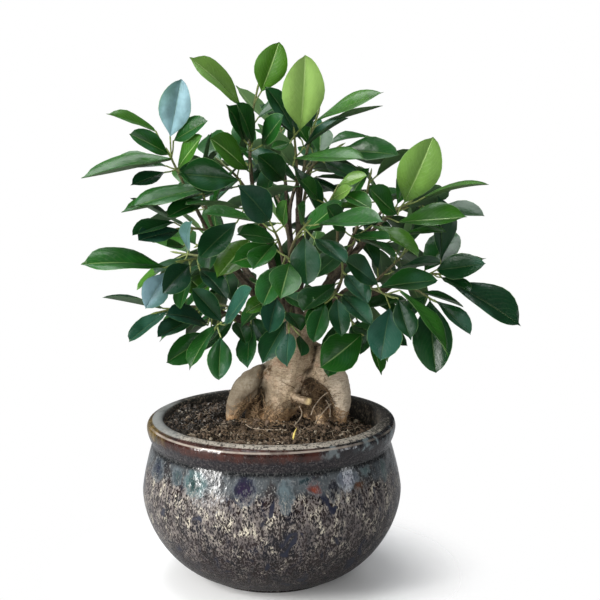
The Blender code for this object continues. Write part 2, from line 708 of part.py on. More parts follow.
def seen_leaf(name, seen, twig, draw, loosen):
    """A leaf aimed from the front view, turned about its midrib until its width shows as seen."""
    nudge = [draw.uniform(-1, 1) * loosen for _ in range(5)]
    spots = [along(twig, number / SPOTS)[0] for number in range(1, SPOTS)]
    nearest = min(spots, key=lambda spot: math.dist(project(spot), (seen.base_x, seen.base_y)))
    depth = nearest.y - SEEN_BEFORE_TWIG + DEPTH_NUDGE * nudge[0]
    tip_x = seen.tip_x + TIP_NUDGE * nudge[1]
    tip_y = seen.tip_y + TIP_NUDGE * nudge[2]
    base = unproject(seen.base_x, seen.base_y, depth)
    tip = unproject(tip_x, tip_y, depth)
    behind = base - (tip - base).normalized() * PETIOLE_LENGTH
    root = min(spots, key=lambda spot: (spot - behind).length)
    length = seen.length / 1000
    lean = math.sqrt(max(length**2 - (tip - base).length_squared, 0.0))
    tip = unproject(tip_x, tip_y, depth - lean + LEAN_NUDGE * nudge[3])
    run = (tip - base).normalized()
    viewer = VIEW_PLACE - base
    shown = seen.width / VIEW_FOCAL * viewer.length
    width = max(shown, SEEN_NARROWEST * (tip - base).length)
    towards = square_to(viewer, run)
    roll = math.acos(min(shown / width, 1.0)) + ROLL_NUDGE * nudge[4]
    outward = Vector((base.x, base.y, 0.0)) * SEEN_SIDEWAYS + Vector((0, 0, 1))
    faces = [Matrix.Rotation(angle, 3, run) @ towards for angle in (roll, -roll)]
    return Leaf(name, root, base, tip, max(faces, key=outward.dot), width)


def grown_leaf(name, spray, number, twig, draw, loosen):
    """A leaf set by the spiral of the twig, reaching out to the side and turned up to the light."""
    share = FIRST_LEAF + LEAF_SPAN * (number + 0.5) / spray.leaves
    root, run = along(twig, share)
    side = run.orthogonal().normalized()
    azimuth = GOLDEN_ANGLE * number + AZIMUTH_PLAY * draw.uniform(-1, 1)
    azimuth += LOOSE_AZIMUTH * loosen * draw.uniform(-1, 1)
    outward = Matrix.Rotation(azimuth, 3, run) @ side
    opening = OPENING - OPENING_CLOSES * share + LOOSE_OPENING * loosen * draw.uniform(-1, 1)
    heading = run * math.cos(opening) + outward * math.sin(opening)
    heading.z -= LEAF_DROOP + LEAF_DROOP_PLAY * draw.random()
    heading.normalize()
    length = spray.length * (1 + LEAF_LENGTH_PLAY * draw.uniform(-1, 1)) * (1 - LOOSE_SHRINK * loosen)
    base = root + (heading + run * PETIOLE_FOLLOWS).normalized() * PETIOLE_LENGTH
    tip = base + heading * length
    away = Vector((base.x - CROWN_MIDDLE[0], base.y - CROWN_MIDDLE[1], 0.0)) * OUTWARD_PULL
    light = Vector((0, 0, 1)) + away + Vector((draw.uniform(-1, 1), draw.uniform(-1, 1), 0)) * FACE_PLAY
    face = square_to(light, heading)
    return Leaf(name, root, base, tip, face, LEAF_WIDTH_SHARE * length * draw.uniform(*LEAF_WIDTH_PLAY))


def outline(share):
    """The blade's half-width at a share of its length, widest a little past the middle."""
    return math.sin(math.pi * share**1.1) ** 0.85 / 2


def leaf_shape(leaf, extra):
    """The leaf's petiole and blade as vertices and faces: the blade is thickest at its midrib."""
    run = (leaf.tip - leaf.base).normalized()
    side = run.cross(leaf.face)
    length = (leaf.tip - leaf.base).length
    vertices = []
    for point, share in ((leaf.root, PETIOLE_TAPER), (leaf.base, 1.0)):
        half = PETIOLE_HALF * share + extra
        vertices += [point - side * half, point + side * half, point - leaf.face * half * PETIOLE_DEPTH]
    thick = LEAF_THICKNESS / 2 + extra
    for share in LEAF_STATIONS:
        middle = leaf.base + run * length * share + leaf.face * length * LEAF_ARCH * 4 * share * (1 - share)
        reach = leaf.width * outline(share) + extra
        edge = leaf.face * reach * LEAF_FOLD
        vertices += [middle - side * reach + edge, middle + leaf.face * thick,
                     middle + side * reach + edge, middle - leaf.face * thick]
    vertices.append(leaf.tip + run * extra)
    faces = [(0, 1, 2), (0, 1, 4), (0, 4, 3), (1, 2, 5), (1, 5, 4), (2, 0, 3), (2, 3, 5)]
    faces += [(3, 7, 6), (3, 4, 7), (4, 8, 7), (3, 6, 9), (3, 9, 5), (4, 5, 9), (4, 9, 8)]
    left, top, right, below = range(6, 10)
    for edge, rib in ((left, top), (right, top), (left, below), (right, below)):
        faces += [(edge, rib, rib + 4), (edge, rib + 4, edge + 4)]
    left, top, right, below, end = range(10, 15)
    faces += [(left, top, end), (top, right, end), (right, below, end), (below, left, end)]
    return vertices, faces


def leaf_trees(leaf):
    """The leaf's stalk and blade, each a little fattened, for telling what they would touch."""
    vertices, faces = leaf_shape(leaf, LEAF_CLEARANCE)
    middle = (leaf.base + leaf.tip) / 2
    reach = (leaf.tip - leaf.root).length
    stalk = BVHTree.FromPolygons(vertices, faces[:STALK_FACES])
    blade = BVHTree.FromPolygons(vertices, faces[STALK_FACES:])
    return Taken(leaf.spray, middle, reach, stalk, False), Taken(leaf.spray, middle, reach, blade, True)


def crosses_itself(leaf):
    """Whether the blade runs back into its own stalk."""
    vertices, faces = leaf_shape(leaf, 0.0)
    stalk = BVHTree.FromPolygons(vertices, faces[:STALK_FACES])
    blade = BVHTree.FromPolygons(vertices, faces[STALK_FACES:])
    return any(not set(faces[a]) & set(faces[STALK_FACES + b]) for a, b in stalk.overlap(blade))


def is_clear(leaf, taken):
    """Whether a leaf touches nothing placed before it, apart from the twig that it grows on."""
    stalk_run = leaf.base - leaf.root
    turn = stalk_run.normalized().dot((leaf.tip - leaf.base).normalized())
    if turn < SHARPEST_TURN or stalk_run.length > LONGEST_PETIOLE:
        return False
    if min(leaf.base.z, leaf.tip.z) < LOWEST_LEAF or crosses_itself(leaf):
        return False
    stalk, blade = leaf_trees(leaf)
    for other in taken:
        own_wood = other.spray == leaf.spray and not other.blade
        if not own_wood and (touches(blade, other) or touches(stalk, other)):
            return False
    return True


def set_leaf(make, taken):
    """The first pose of a leaf that is clear, loosened step by step, or nothing where there is no room."""
    for attempt in range(TRIES):
        leaf = make((attempt / TRIES) ** 1.5)
        if is_clear(leaf, taken):
            taken += leaf_trees(leaf)
            return leaf
    return None


def grow_leaves(paths, taken):
    """Every leaf: the aimed ones first, then those set by rule where there is room for them."""
    draw = random.Random(SEED + 1)
    twigs = {name: split_path(path)[1] for name, path in paths.items()}
    leaves = []
    for name, aimed in SEEN_LEAVES.items():
        for seen in aimed:
            make = lambda loosen: seen_leaf(name, seen, twigs[name], draw, loosen)
            leaves.append(set_leaf(make, taken))
    for name, spray in SPRAYS.items():
        for number in range(spray.leaves):
            make = lambda loosen: grown_leaf(name, spray, number, twigs[name], draw, loosen)
            leaves.append(set_leaf(make, taken))
    return [leaf for leaf in leaves if leaf]


def make_trunk(paths, collection):
    """The swollen roots and trunk run together as one skin, with the boughs and branches grown into it."""
    limbs = []
    for name, points in TRUNK_LIMBS.items():
        path = smooth_path([point[:3] for point in points], 3)
        radii = [point.x for point in smooth_path([(point[3], 0, 0) for point in points], 3)]
        limbs.append(tube(name, path, radii, 3, collection))
    trunk = unite(limbs[0], limbs[1:], collection)
    skin = trunk.modifiers.new("skin", "REMESH")
    skin.mode = "VOXEL"
    skin.voxel_size = TRUNK_VOXEL
    flow = trunk.modifiers.new("flow", "SMOOTH")
    flow.factor = 0.5
    flow.iterations = TRUNK_SMOOTHING
    trunk = evaluated_copy(trunk, "trunk", collection)
    thin = trunk.modifiers.new("thin", "DECIMATE")
    thin.ratio = TRUNK_TRIANGLES / (2 * len(trunk.data.polygons))
    trunk = evaluated_copy(trunk, "trunk", collection)
    wood = []
    for name in BOUGHS:
        path = bough_path(name)
        wood.append(tube(name, path, bough_radii(name, len(path)), 1, collection))
    for name, path in paths.items():
        branch = split_path(path)[0]
        wood.append(tube("branch_" + name, branch, [BRANCH_RADIUS] * len(branch), 0, collection))
    trunk = unite(trunk, wood, collection)
    trunk.data.shade_smooth()
    trunk.data.set_sharp_from_angle(angle=SHARP_ANGLE)
    return trunk


def make_spray(name, path, leaves, collection):
    twig = split_path(path)[1]
    thinning = (TWIG_END_RADIUS - TWIG_RADIUS) / (len(twig) - 1)
    radii = [TWIG_RADIUS + thinning * i for i in range(len(twig))]
    stem = tube("spray_" + name, twig, radii, 0, collection)
    parts = [object_from("leaf", *leaf_shape(leaf, 0.0), collection) for leaf in leaves]
    return unite(stem, parts, collection)


def main():
    clear_scene()
    collection = new_collection("fig_bonsai")
    glaze = new_material("dark_reactive_glaze", (0.055, 0.048, 0.045), 0.22)
    peat = new_material("peat", (0.030, 0.022, 0.016), 0.95)
    bark = new_material("pale_bark", (0.42, 0.33, 0.24), 0.75)
    green = new_material("leaf_green", (0.045, 0.16, 0.035), 0.35)
    paths, wood = lay_out_twigs()
    leaves = grow_leaves(paths, wood)
    trunk = make_trunk(paths, collection)
    trunk.data.materials.append(bark)
    pot = make_pot(collection)
    pot.data.materials.append(glaze)
    soil = make_soil(trunk, collection)
    soil.data.materials.append(peat)
    for name, path in paths.items():
        own = [leaf for leaf in leaves if leaf.spray == name]
        spray = make_spray(name, path, own, collection)
        spray.data.materials.append(green)


main()
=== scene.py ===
"""A ginseng fig grown as a bonsai in a round glazed pot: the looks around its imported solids, with +Z up.

The origin is the centre of the pot's flat foot, and -Y is the front. Lengths are in metres, and in
millimetres in the tables that metres() reads. The tables and the functions that lay out twigs and leaves
give what the solids' own source gives, so that every leaf grows where its solid is. Each spray, the trunk,
the soil and the pot get a finer piece in place of their solid.
"""

import json
import math
import random
from collections import namedtuple

import bmesh
import bpy
from mathutils import Matrix, Vector, noise
from mathutils.bvhtree import BVHTree

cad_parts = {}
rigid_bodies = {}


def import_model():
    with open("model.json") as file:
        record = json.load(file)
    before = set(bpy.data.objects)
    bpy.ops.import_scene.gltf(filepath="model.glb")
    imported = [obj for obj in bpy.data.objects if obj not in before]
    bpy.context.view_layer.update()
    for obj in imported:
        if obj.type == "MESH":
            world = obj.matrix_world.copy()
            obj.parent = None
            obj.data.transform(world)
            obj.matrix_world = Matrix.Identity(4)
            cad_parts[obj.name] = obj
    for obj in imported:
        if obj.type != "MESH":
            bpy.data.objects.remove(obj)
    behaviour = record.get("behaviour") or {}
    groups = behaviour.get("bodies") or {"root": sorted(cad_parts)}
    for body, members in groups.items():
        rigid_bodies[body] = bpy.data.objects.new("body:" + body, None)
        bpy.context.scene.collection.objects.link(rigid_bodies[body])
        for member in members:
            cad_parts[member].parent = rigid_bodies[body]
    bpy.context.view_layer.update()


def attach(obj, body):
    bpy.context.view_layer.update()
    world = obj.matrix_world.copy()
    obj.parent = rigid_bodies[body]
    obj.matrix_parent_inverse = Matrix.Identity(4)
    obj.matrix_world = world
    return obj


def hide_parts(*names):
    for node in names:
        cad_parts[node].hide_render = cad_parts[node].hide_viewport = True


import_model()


def metres(measure):
    """Millimetres as metres, one number or a table of them."""
    return tuple(map(metres, measure)) if isinstance(measure, tuple) else measure / 1000


# The pot
GAP = 0.0003
BELLY_RADIUS = 0.103
BELLY_HEIGHT = 0.0715
BELLY_BULGE = 1.14
BELLY_RISE = 1.08
FOOT_RADIUS = 0.0515
SHOULDER_TURN = 1.36
NECK_RADIUS = 0.0945
NECK_HEIGHT = 0.11
RIM_RADIUS = 0.0986
RIM_HEIGHT = 0.1295
MOUTH_RADIUS = 0.0852
WALL = 0.0075
FLOOR_HEIGHT = 0.009

# The soil
SOIL_EDGE_HEIGHT = 0.1125
SOIL_BANK_HEIGHT = 0.124
SOIL_BANK_SHARE = 0.65
SOIL_LOW_SIDE = (0.94, 0.34)
SOIL_CROWN_HEIGHT = 0.1225
SOIL_CROWN_PLACE = (0.012, 0.02)
SOIL_CROWN_SPREAD = 0.048
SOIL_RELIEF = 0.0012

# The trunk and its bare roots: each limb runs through (x, y, z, radius)
TRUNK_LIMBS = {
    "front_lobe": (
        (3, 21, 94, 9), (3, 20, 123, 12), (5, 21, 139, 14), (10, 22, 157, 17.2), (15, 22, 176, 18.5),
        (17.5, 22, 194, 16.5), (19, 22, 208, 10.5)),
    "right_lobe": (
        (13, 29, 118, 6), (14.8, 24, 137, 7), (18, 20, 150, 9.5), (19.2, 19, 167, 13.2), (19, 21, 186, 14)),
    "left_root": (
        (6, 26, 159, 11), (-8, 21, 154.5, 11.5), (-19.5, 18, 147.5, 11.4), (-27.6, 16, 137, 8.6),
        (-32.2, 15, 123.5, 5.6), (-36, 15, 98, 4.2)),
    "right_root": (
        (22, 24, 178, 12.5), (38, 20, 166, 13.8), (50.6, 17, 152, 11.4), (55.2, 16, 138, 8.6),
        (55.2, 14, 123.5, 6), (55, 13, 98, 4.2)),
    "back_root": (
        (14, 28, 180, 13), (8, 44, 160, 12.5), (4, 52, 140, 9.5), (2, 55, 123, 7), (1, 57, 98, 4.5)),
    "back_right_root": (
        (24, 30, 176, 11), (36, 42, 158, 10.5), (42, 49, 140, 8), (45, 53, 122, 6), (47, 56, 98, 4)),
    "right_mat": ((24, 32, 156, 9), (33, 31, 140, 12.5), (36, 31, 108, 13)),
    "left_mat": ((-6, 26, 146, 8.5), (-12, 25, 128, 9.5), (-13, 25, 104, 9.5)),
    "knobby_root": (
        (35, 25, 140, 3.8), (36.2, 12, 134.5, 4), (38.5, 4, 126.5, 4.2), (40, -2, 119.5, 3.8),
        (40.5, -4, 104, 3)),
    "cut_root": ((14, 14, 142.5, 4.2), (21.5, 6, 140.5, 3.4), (31.2, 3, 138.8, 3)),
}
TRUNK_LIMBS = {name: metres(points) for name, points in TRUNK_LIMBS.items()}

# The boughs grafted to the trunk's top, from first radius to last
Bough = namedtuple("Bough", "first_radius last_radius points")
BOUGHS = {
    "left_up": (4.2, 2.2, ((13, 21, 196), (0, 10, 250), (-11, -1, 292))),
    "left": (4, 2.1, ((10, 19, 192), (-18, 4, 232), (-42, -12, 266))),
    "low_left": (3.4, 2, ((6, 16, 188), (-10, 2, 200), (-26, -12, 208))),
    "top": (4.6, 2.2, ((19, 22, 200), (22, 16, 250), (21, 8, 292))),
    "right_up": (4.2, 2, ((24, 21, 196), (46, 12, 236), (70, 2, 264))),
    "right": (4, 2, ((25, 23, 190), (56, 20, 214), (90, 13, 228))),
    "front": (4, 2, ((16, 14, 192), (14, -12, 224), (11, -36, 248))),
    "front_right": (3.6, 1.8, ((23, 14, 190), (36, -6, 214), (50, -24, 228))),
    "back": (4.2, 2, ((18, 30, 194), (16, 54, 242), (12, 74, 284))),
    "back_right": (4, 2, ((24, 29, 192), (50, 54, 230), (72, 72, 256))),
    "back_left": (4, 2, ((11, 29, 192), (-16, 48, 230), (-38, 62, 258))),
    "back_low": (3.4, 1.8, ((19, 32, 184), (21, 54, 204), (23, 70, 214))),
}
BOUGHS = {name: Bough(*metres(row)) for name, row in BOUGHS.items()}
BOUGH_SAMPLES = 2

# The sprays: the bough that carries each, how far along it, the twig's end, leaves set by rule, their length
Spray = namedtuple("Spray", "bough start tip leaves length")
SPRAYS = {
    "top_left": ("left", 1.0, (-76, -24, 338), 2, 46),
    "upper_left": ("left", 0.8, (-50, -46, 320), 3, 48),
    "left_side": ("left", 0.6, (-66, -40, 284), 2, 44),
    "left_mid": ("left", 0.4, (-66, -56, 262), 1, 44),
    "left_low": ("low_left", 1.0, (-84, -50, 222), 2, 44),
    "low_left": ("low_left", 0.7, (-40, -62, 213), 1, 44),
    "low_mid": ("low_left", 0.4, (-12, -40, 216), 1, 40),
    "mid_left": ("left_up", 0.6, (-20, -46, 300), 3, 46),
    "stem_left": ("left_up", 1.0, (-10, -10, 386), 1, 44),
    "top_main": ("top", 0.9, (18, -20, 354), 1, 46),
    "top_right_back": ("top", 0.72, (36, 12, 366), 3, 46),
    "top_right": ("top", 1.0, (52, 2, 342), 3, 46),
    "young_right": ("right_up", 0.4, (42, -36, 304), 1, 40),
    "right_top": ("right_up", 1.0, (104, -16, 300), 1, 44),
    "right_back": ("right_up", 0.8, (122, 28, 298), 3, 46),
    "right_far": ("right", 1.0, (138, 4, 242), 2, 46),
    "right_low": ("right", 0.8, (124, -18, 226), 1, 46),
    "right_low_front": ("front_right", 1.0, (88, -58, 236), 1, 44),
    "right_inner": ("right_up", 0.66, (62, -44, 278), 2, 44),
    "right_mid": ("front_right", 0.8, (54, -52, 258), 2, 44),
    "centre": ("front", 1.0, (4, -78, 287), 1, 42),
    "centre_front": ("front", 0.86, (14, -84, 268), 1, 42),
    "centre_right": ("front", 0.7, (28, -70, 292), 1, 44),
    "centre_low": ("front", 0.5, (4, -64, 236), 3, 40),
    "front_trunk": ("front", 0.25, (14, -46, 212), 1, 36),
    "low_centre_right": ("front_right", 0.6, (47, -72, 238), 1, 42),
    "low_right": ("front_right", 0.35, (68, -44, 206), 2, 42),
    "crown": ("top", 0.5, (40, 34, 344), 6, 46),
    "inner_left": ("left_up", 0.8, (-40, 10, 330), 5, 46),
    "inner_right": ("right_up", 0.55, (78, 24, 318), 5, 46),
    "side_left": ("left", 0.25, (-74, 12, 258), 6, 46),
    "side_left_low": ("low_left", 0.3, (-50, 10, 220), 5, 44),
    "side_right": ("right", 0.6, (108, 44, 254), 6, 46),
    "side_right_low": ("right", 0.4, (78, 6, 202), 5, 44),
    "back_top": ("back", 1.0, (6, 100, 352), 6, 48),
    "back_crown": ("back", 0.8, (44, 74, 336), 5, 46),
    "back_crown_left": ("back", 0.65, (-26, 76, 326), 6, 46),
    "back_mid": ("back", 0.4, (6, 110, 274), 6, 48),
    "back_left_top": ("back_left", 1.0, (-74, 82, 302), 6, 46),
    "back_left_mid": ("back_left", 0.75, (-64, 92, 252), 6, 46),
    "back_left_low": ("back_left", 0.45, (-56, 56, 222), 6, 46),
    "back_right_top": ("back_right", 1.0, (108, 92, 298), 6, 46),
    "back_right_mid": ("back_right", 0.75, (104, 92, 248), 6, 48),
    "back_right_low": ("back_right", 0.45, (76, 72, 214), 6, 46),
    "back_low": ("back_low", 1.0, (28, 104, 228), 6, 46),
    "back_low_left": ("back_low", 0.6, (-14, 88, 222), 5, 44),
}
SPRAYS = {name: Spray(bough, start, metres(tip), leaves, length / 1000)
          for name, (bough, start, tip, leaves, length) in SPRAYS.items()}
TWIG_STEPS = 4
BRANCH_STEPS = 1
TWIG_LIFT = 0.16
TWIG_KNEE = 0.45
MOST_BEND = 0.5
BRANCH_RADIUS = 0.0016
TWIG_RADIUS = 0.0013
TWIG_END_RADIUS = 0.0008

# Leaves aimed one by one from the front view: pixels of the blade's base and tip, the pixels its width shows,
# its real length in millimetres, which turns it towards the viewer by what is seen foreshortened, its tone
# from young to old and to silvery, the silvery end being a painted sky sheen, and whether its tip is round
Seen = namedtuple("Seen", "base_x base_y tip_x tip_y width length tone round_tip", defaults=(False,))
VIEW_PLACE = Vector((0.0224, -1.11, 0.424))
VIEW_PITCH = math.radians(10.3)
VIEW_COS = math.cos(VIEW_PITCH)
VIEW_SIN = math.sin(VIEW_PITCH)
VIEW_FOCAL = 1437
VIEW_MIDDLE = 300
SEEN_BEFORE_TWIG = 0.003
SEEN_NARROWEST = 0.48
SEEN_SIDEWAYS = 3
DEPTH_NUDGE = 0.012
TIP_NUDGE = 8
LEAN_NUDGE = 0.025
ROLL_NUDGE = 0.5
SEEN_LEAVES = {
    "top_left": (
        (170, 137, 181, 79, 31, 50, -1, True), (156, 131, 106, 113, 10, 44, 0.45),
        (170, 155, 129, 134, 18, 42, 0.3), (172, 158, 81, 180, 18, 76, 0.35),
        (173, 141, 205, 120, 20, 40, 0.1), (178, 168, 203, 136, 18, 40, 0.55),
        (165, 172, 130, 186, 17, 36, -0.2)),
    "upper_left": (
        (203, 188, 130, 205, 20, 64, 0.2), (200, 194, 121, 214, 18, 68, 0.3),
        (205, 200, 165, 215, 17, 46, 0.1), (212, 190, 176, 170, 24, 44, -0.1)),
    "left_side": (
        (180, 230, 138, 240, 17, 46, -0.3), (174, 222, 132, 234, 12, 44, -0.1),
        (184, 246, 166, 247, 10, 26, 0.2)),
    "left_mid": (
        (188, 250, 191, 221, 14, 34, -0.82), (190, 265, 163, 293, 28, 44, -0.3),
        (190, 272, 181, 308, 16, 40, 0), (166, 267, 81, 262, 18, 68, 0.2), (166, 272, 146, 308, 28, 42, -1),
        (200, 270, 228, 300, 20, 40, -0.3)),
    "left_low": ((168, 311, 129, 342, 14, 46, -0.45), (195, 318, 157, 338, 20, 44, -0.3),
                 (208, 325, 168, 312, 22, 44, -0.4), (211, 334, 166, 363, 28, 48, 0.05)),
    "low_left": ((221, 337, 219, 380, 25, 42, 0, True), (224, 325, 253, 288, 20, 46, -0.6),
                 (222, 322, 196, 290, 18, 42, -0.3), (236, 322, 246, 345, 18, 34, 0.1)),
    "low_mid": ((252, 318, 268, 345, 20, 34, 0),),
    "mid_left": ((240, 180, 178, 172, 30, 55, 0.05), (250, 240, 212, 281, 24, 50, 0.6),
                 (237, 222, 199, 258, 26, 46, -0.3)),
    "stem_left": (
        (242, 108, 191, 56, 16, 58, 0.8), (244, 140, 227, 104, 14, 42, 0),
        (250, 172, 208, 132, 15, 54, 0.45), (261, 92, 279, 42, 32, 44, 0.68, True),
        (262, 145, 284, 115, 20, 40, 0.1), (250, 150, 218, 158, 14, 40, 0.2),
        (253, 143, 236, 101, 16, 46, 0.1)),
    "top_main": (
        (300, 130, 305, 55, 42, 62, 1, True), (295, 135, 264, 88, 20, 46, -0.2),
        (294, 158, 366, 155, 20, 62, 0.48), (284, 181, 258, 155, 25, 42, 0),
        (293, 165, 318, 212, 20, 54, -0.1), (290, 143, 264, 145, 10, 30, 0.3)),
    "top_right_back": ((316, 120, 383, 90, 17, 58, 0.6), (312, 128, 300, 95, 22, 40, -0.1)),
    "top_right": ((340, 150, 399, 154, 25, 50, 0.1), (324, 162, 357, 180, 18, 40, -0.2)),
    "young_right": (
        (331, 199, 353, 187, 12, 24, 0.8), (338, 185, 366, 174, 14, 28, 0.8),
        (340, 192, 372, 210, 16, 36, 0.3), (330, 208, 372, 205, 10, 40, 0.6),
        (318, 200, 300, 180, 14, 34, 0.2)),
    "right_top": (
        (404, 203, 433, 137, 42, 62, 0.84, True), (424, 197, 489, 183, 8, 56, 0.55),
        (398, 222, 468, 218, 18, 58, 0.5), (400, 235, 447, 232, 9, 40, 0.4),
        (398, 215, 372, 190, 18, 36, 0.2)),
    "right_back": ((430, 210, 485, 217, 14, 50, 0),),
    "right_far": (
        (441, 262, 438, 197, 27, 54, -0.2), (436, 270, 485, 263, 26, 46, -0.2),
        (448, 282, 522, 325, 27, 70, -0.25), (441, 277, 470, 290, 14, 40, -0.1)),
    "right_low": (
        (430, 300, 436, 373, 40, 62, -0.2, True), (435, 300, 470, 336, 15, 46, -0.2),
        (426, 296, 402, 320, 16, 34, 0)),
    "right_low_front": (
        (390, 307, 381, 360, 36, 48, -0.5), (400, 290, 450, 355, 18, 66, 0.3),
        (398, 298, 411, 341, 22, 44, -0.2), (378, 285, 345, 260, 20, 42, -0.2)),
    "right_inner": (
        (372, 225, 419, 256, 18, 50, 0.6), (352, 236, 390, 240, 14, 42, 0.1),
        (346, 232, 326, 206, 16, 36, 0.2)),
    "right_mid": ((352, 274, 392, 305, 20, 48, 0), (350, 262, 386, 266, 20, 40, -0.3)),
    "centre": ((275, 240, 237, 234, 16, 40, 0.1), (270, 221, 238, 185, 33, 50, -0.4),
               (262, 222, 201, 215, 10, 50, 0.2), (283, 226, 286, 200, 14, 26, 0.5)),
    "centre_front": ((290, 262, 280, 300, 33, 46, 0.3), (277, 250, 230, 263, 25, 44, 0.3)),
    "centre_right": (
        (318, 224, 385, 223, 14, 58, 0.2), (305, 236, 307, 284, 31, 50, -0.2),
        (304, 222, 297, 205, 14, 34, 0.1), (314, 238, 346, 262, 20, 42, -0.2)),
    "centre_low": ((277, 297, 269, 333, 25, 40, -0.4), (270, 299, 246, 312, 16, 30, 0.5)),
    "front_trunk": (
        (289, 333, 287, 367, 20, 40, -0.4), (300, 335, 301, 357, 13, 30, 0.1),
        (286, 312, 301, 330, 16, 36, 0)),
    "low_centre_right": (
        (325, 303, 313, 343, 22, 38, -0.1), (337, 298, 342, 336, 22, 38, -0.2),
        (342, 295, 372, 325, 20, 42, -0.2)),
    "low_right": ((363, 333, 319, 368, 38, 52, 0.22), (352, 325, 378, 335, 18, 38, 0)),
}
LEAF_THICKNESS = 0.0013
LEAF_STATIONS = (0.33, 0.74)
LEAF_WIDTH_SHARE = 0.5
LEAF_WIDTH_PLAY = (0.94, 1.12)
LEAF_LENGTH_PLAY = 0.14
LEAF_ARCH = 0.07
LEAF_FOLD = 0.16
LEAF_DROOP = 0.18
LEAF_DROOP_PLAY = 0.2
PETIOLE_LENGTH = 0.008
PETIOLE_HALF = 0.0008
PETIOLE_TAPER = 0.45
PETIOLE_DEPTH = 1.4
PETIOLE_FOLLOWS = 0.4
LONGEST_PETIOLE = 0.024
SHARPEST_TURN = 0.15

# How leaves set by rule follow the twig: where they start, how they turn round it and open away from it
FIRST_LEAF = 0.2
LEAF_SPAN = 0.77
GOLDEN_ANGLE = math.radians(137.5)
AZIMUTH_PLAY = 0.3
LOOSE_AZIMUTH = 2.5
OPENING = math.radians(78)
OPENING_CLOSES = math.radians(44)
LOOSE_OPENING = 0.5
LOOSE_SHRINK = 0.25
CROWN_MIDDLE = (0.02, 0.015)
OUTWARD_PULL = 6
FACE_PLAY = 0.35

# How leaves keep clear of what is there before them
LEAF_CLEARANCE = 0.0009
LOWEST_LEAF = 0.136
TRIES = 80
SPOTS = 20
BAR_SIDES = 5
WIDEST_REACH = 0.3
SEED = 11
STALK_FACES = 7

Leaf = namedtuple("Leaf", "spray root base tip face width")
Taken = namedtuple("Taken", "spray middle reach tree blade")


def circle(count):
    """So many directions round an axis, as (cosine, sine)."""
    return [(math.cos(2 * math.pi * k / count), math.sin(2 * math.pi * k / count)) for k in range(count)]


def neighbours(first, count):
    """Each point of a ring with the next one, as numbers of points from the ring's first."""
    return [(first + k, first + (k + 1) % count) for k in range(count)]


def any_way(draw):
    return Vector([draw.uniform(-1, 1) for _ in range(3)])


def belly_curve(angle):
    """The pot's lower body, from the foot at 0 to the widest ring at a right angle."""
    inner = FOOT_RADIUS * 0.8
    radius = inner + (BELLY_RADIUS - inner) * math.sin(angle) ** BELLY_BULGE
    return radius, BELLY_HEIGHT * (1 - max(math.cos(angle), 0.0) ** BELLY_RISE)


def shoulder_radius(height):
    share = (height - BELLY_HEIGHT) / (NECK_HEIGHT - BELLY_HEIGHT)
    return BELLY_RADIUS - (BELLY_RADIUS - NECK_RADIUS) * share**SHOULDER_TURN


def inner_profile():
    """The inside of the body from the floor's middle up to the mouth."""
    lower = [math.pi / 2 * share for share in (0.46, 0.62, 0.8, 1.0)]
    side = [(radius - WALL, height) for radius, height in map(belly_curve, lower)]
    return ([(0.0, FLOOR_HEIGHT), (0.048, FLOOR_HEIGHT + 0.001)] + side
            + [(shoulder_radius(0.096) - WALL - 0.001, 0.096), (MOUTH_RADIUS, 0.109)])


def soil_height(x, y):
    """The soil's surface: a crown round the trunk, a bank by the wall that is low at the right, and clods."""
    to_low_side = (x * SOIL_LOW_SIDE[0] + y * SOIL_LOW_SIDE[1]) / MOUTH_RADIUS
    bank = min(SOIL_BANK_SHARE * (1 - to_low_side), 1.0)
    edge = SOIL_EDGE_HEIGHT + (SOIL_BANK_HEIGHT - SOIL_EDGE_HEIGHT) * bank
    away = (x - SOIL_CROWN_PLACE[0]) ** 2 + (y - SOIL_CROWN_PLACE[1]) ** 2
    crown = math.exp(-away / (2 * SOIL_CROWN_SPREAD**2))
    clods = (math.sin(95 * x + 1.3) * math.sin(83 * y + 0.4) + 0.7 * math.sin(171 * x - 97 * y)
             + 0.5 * math.sin(150 * y + 61 * x + 2.0))
    return edge + (SOIL_CROWN_HEIGHT - edge) * crown + SOIL_RELIEF * clods


def smooth_path(points, samples):
    """Points on a smooth curve through the given ones, with as many steps as asked between each two."""
    points = [Vector(point) for point in points]
    ends = [2 * points[0] - points[1]] + points + [2 * points[-1] - points[-2]]
    path = []
    for before, first, second, after in zip(ends, ends[1:], ends[2:], ends[3:]):
        for step in range(samples):
            t = step / samples
            path.append(0.5 * (2 * first + (second - before) * t
                               + (2 * before - 5 * first + 4 * second - after) * t**2
                               + (3 * first - before - 3 * second + after) * t**3))
    return path + [points[-1]]


def along(path, share):
    """The point at a share of the path's steps, and the path's direction there."""
    spot = min(share * (len(path) - 1), len(path) - 1.001)
    step = int(spot)
    leg = path[step + 1] - path[step]
    return path[step] + leg * (spot - step), leg.normalized()


def bough_path(name):
    return smooth_path(BOUGHS[name].points, BOUGH_SAMPLES)


def spray_path(spray, draw, bend):
    """The way of a branch and its twig: out along the bough's run, then up and over to the twig's tip."""
    start, heading = along(bough_path(spray.bough), spray.start)
    end = Vector(spray.tip)
    reach = (end - start).length
    knee = start + heading * reach * TWIG_KNEE + Vector((0, 0, TWIG_LIFT * reach))
    knee += bend * reach * any_way(draw)
    steps = [i / TWIG_STEPS for i in range(TWIG_STEPS + 1)]
    return [(1 - t) ** 2 * start + 2 * t * (1 - t) * knee + t**2 * end for t in steps]


def split_path(path):
    """The branch that the bough keeps and the twig beyond it, parted by the gap in the middle of one leg."""
    first, second = path[BRANCH_STEPS], path[BRANCH_STEPS + 1]
    middle = (first + second) / 2
    half_gap = (second - first).normalized() * GAP / 2
    return path[: BRANCH_STEPS + 1] + [middle - half_gap], [middle + half_gap] + path[BRANCH_STEPS + 1 :]


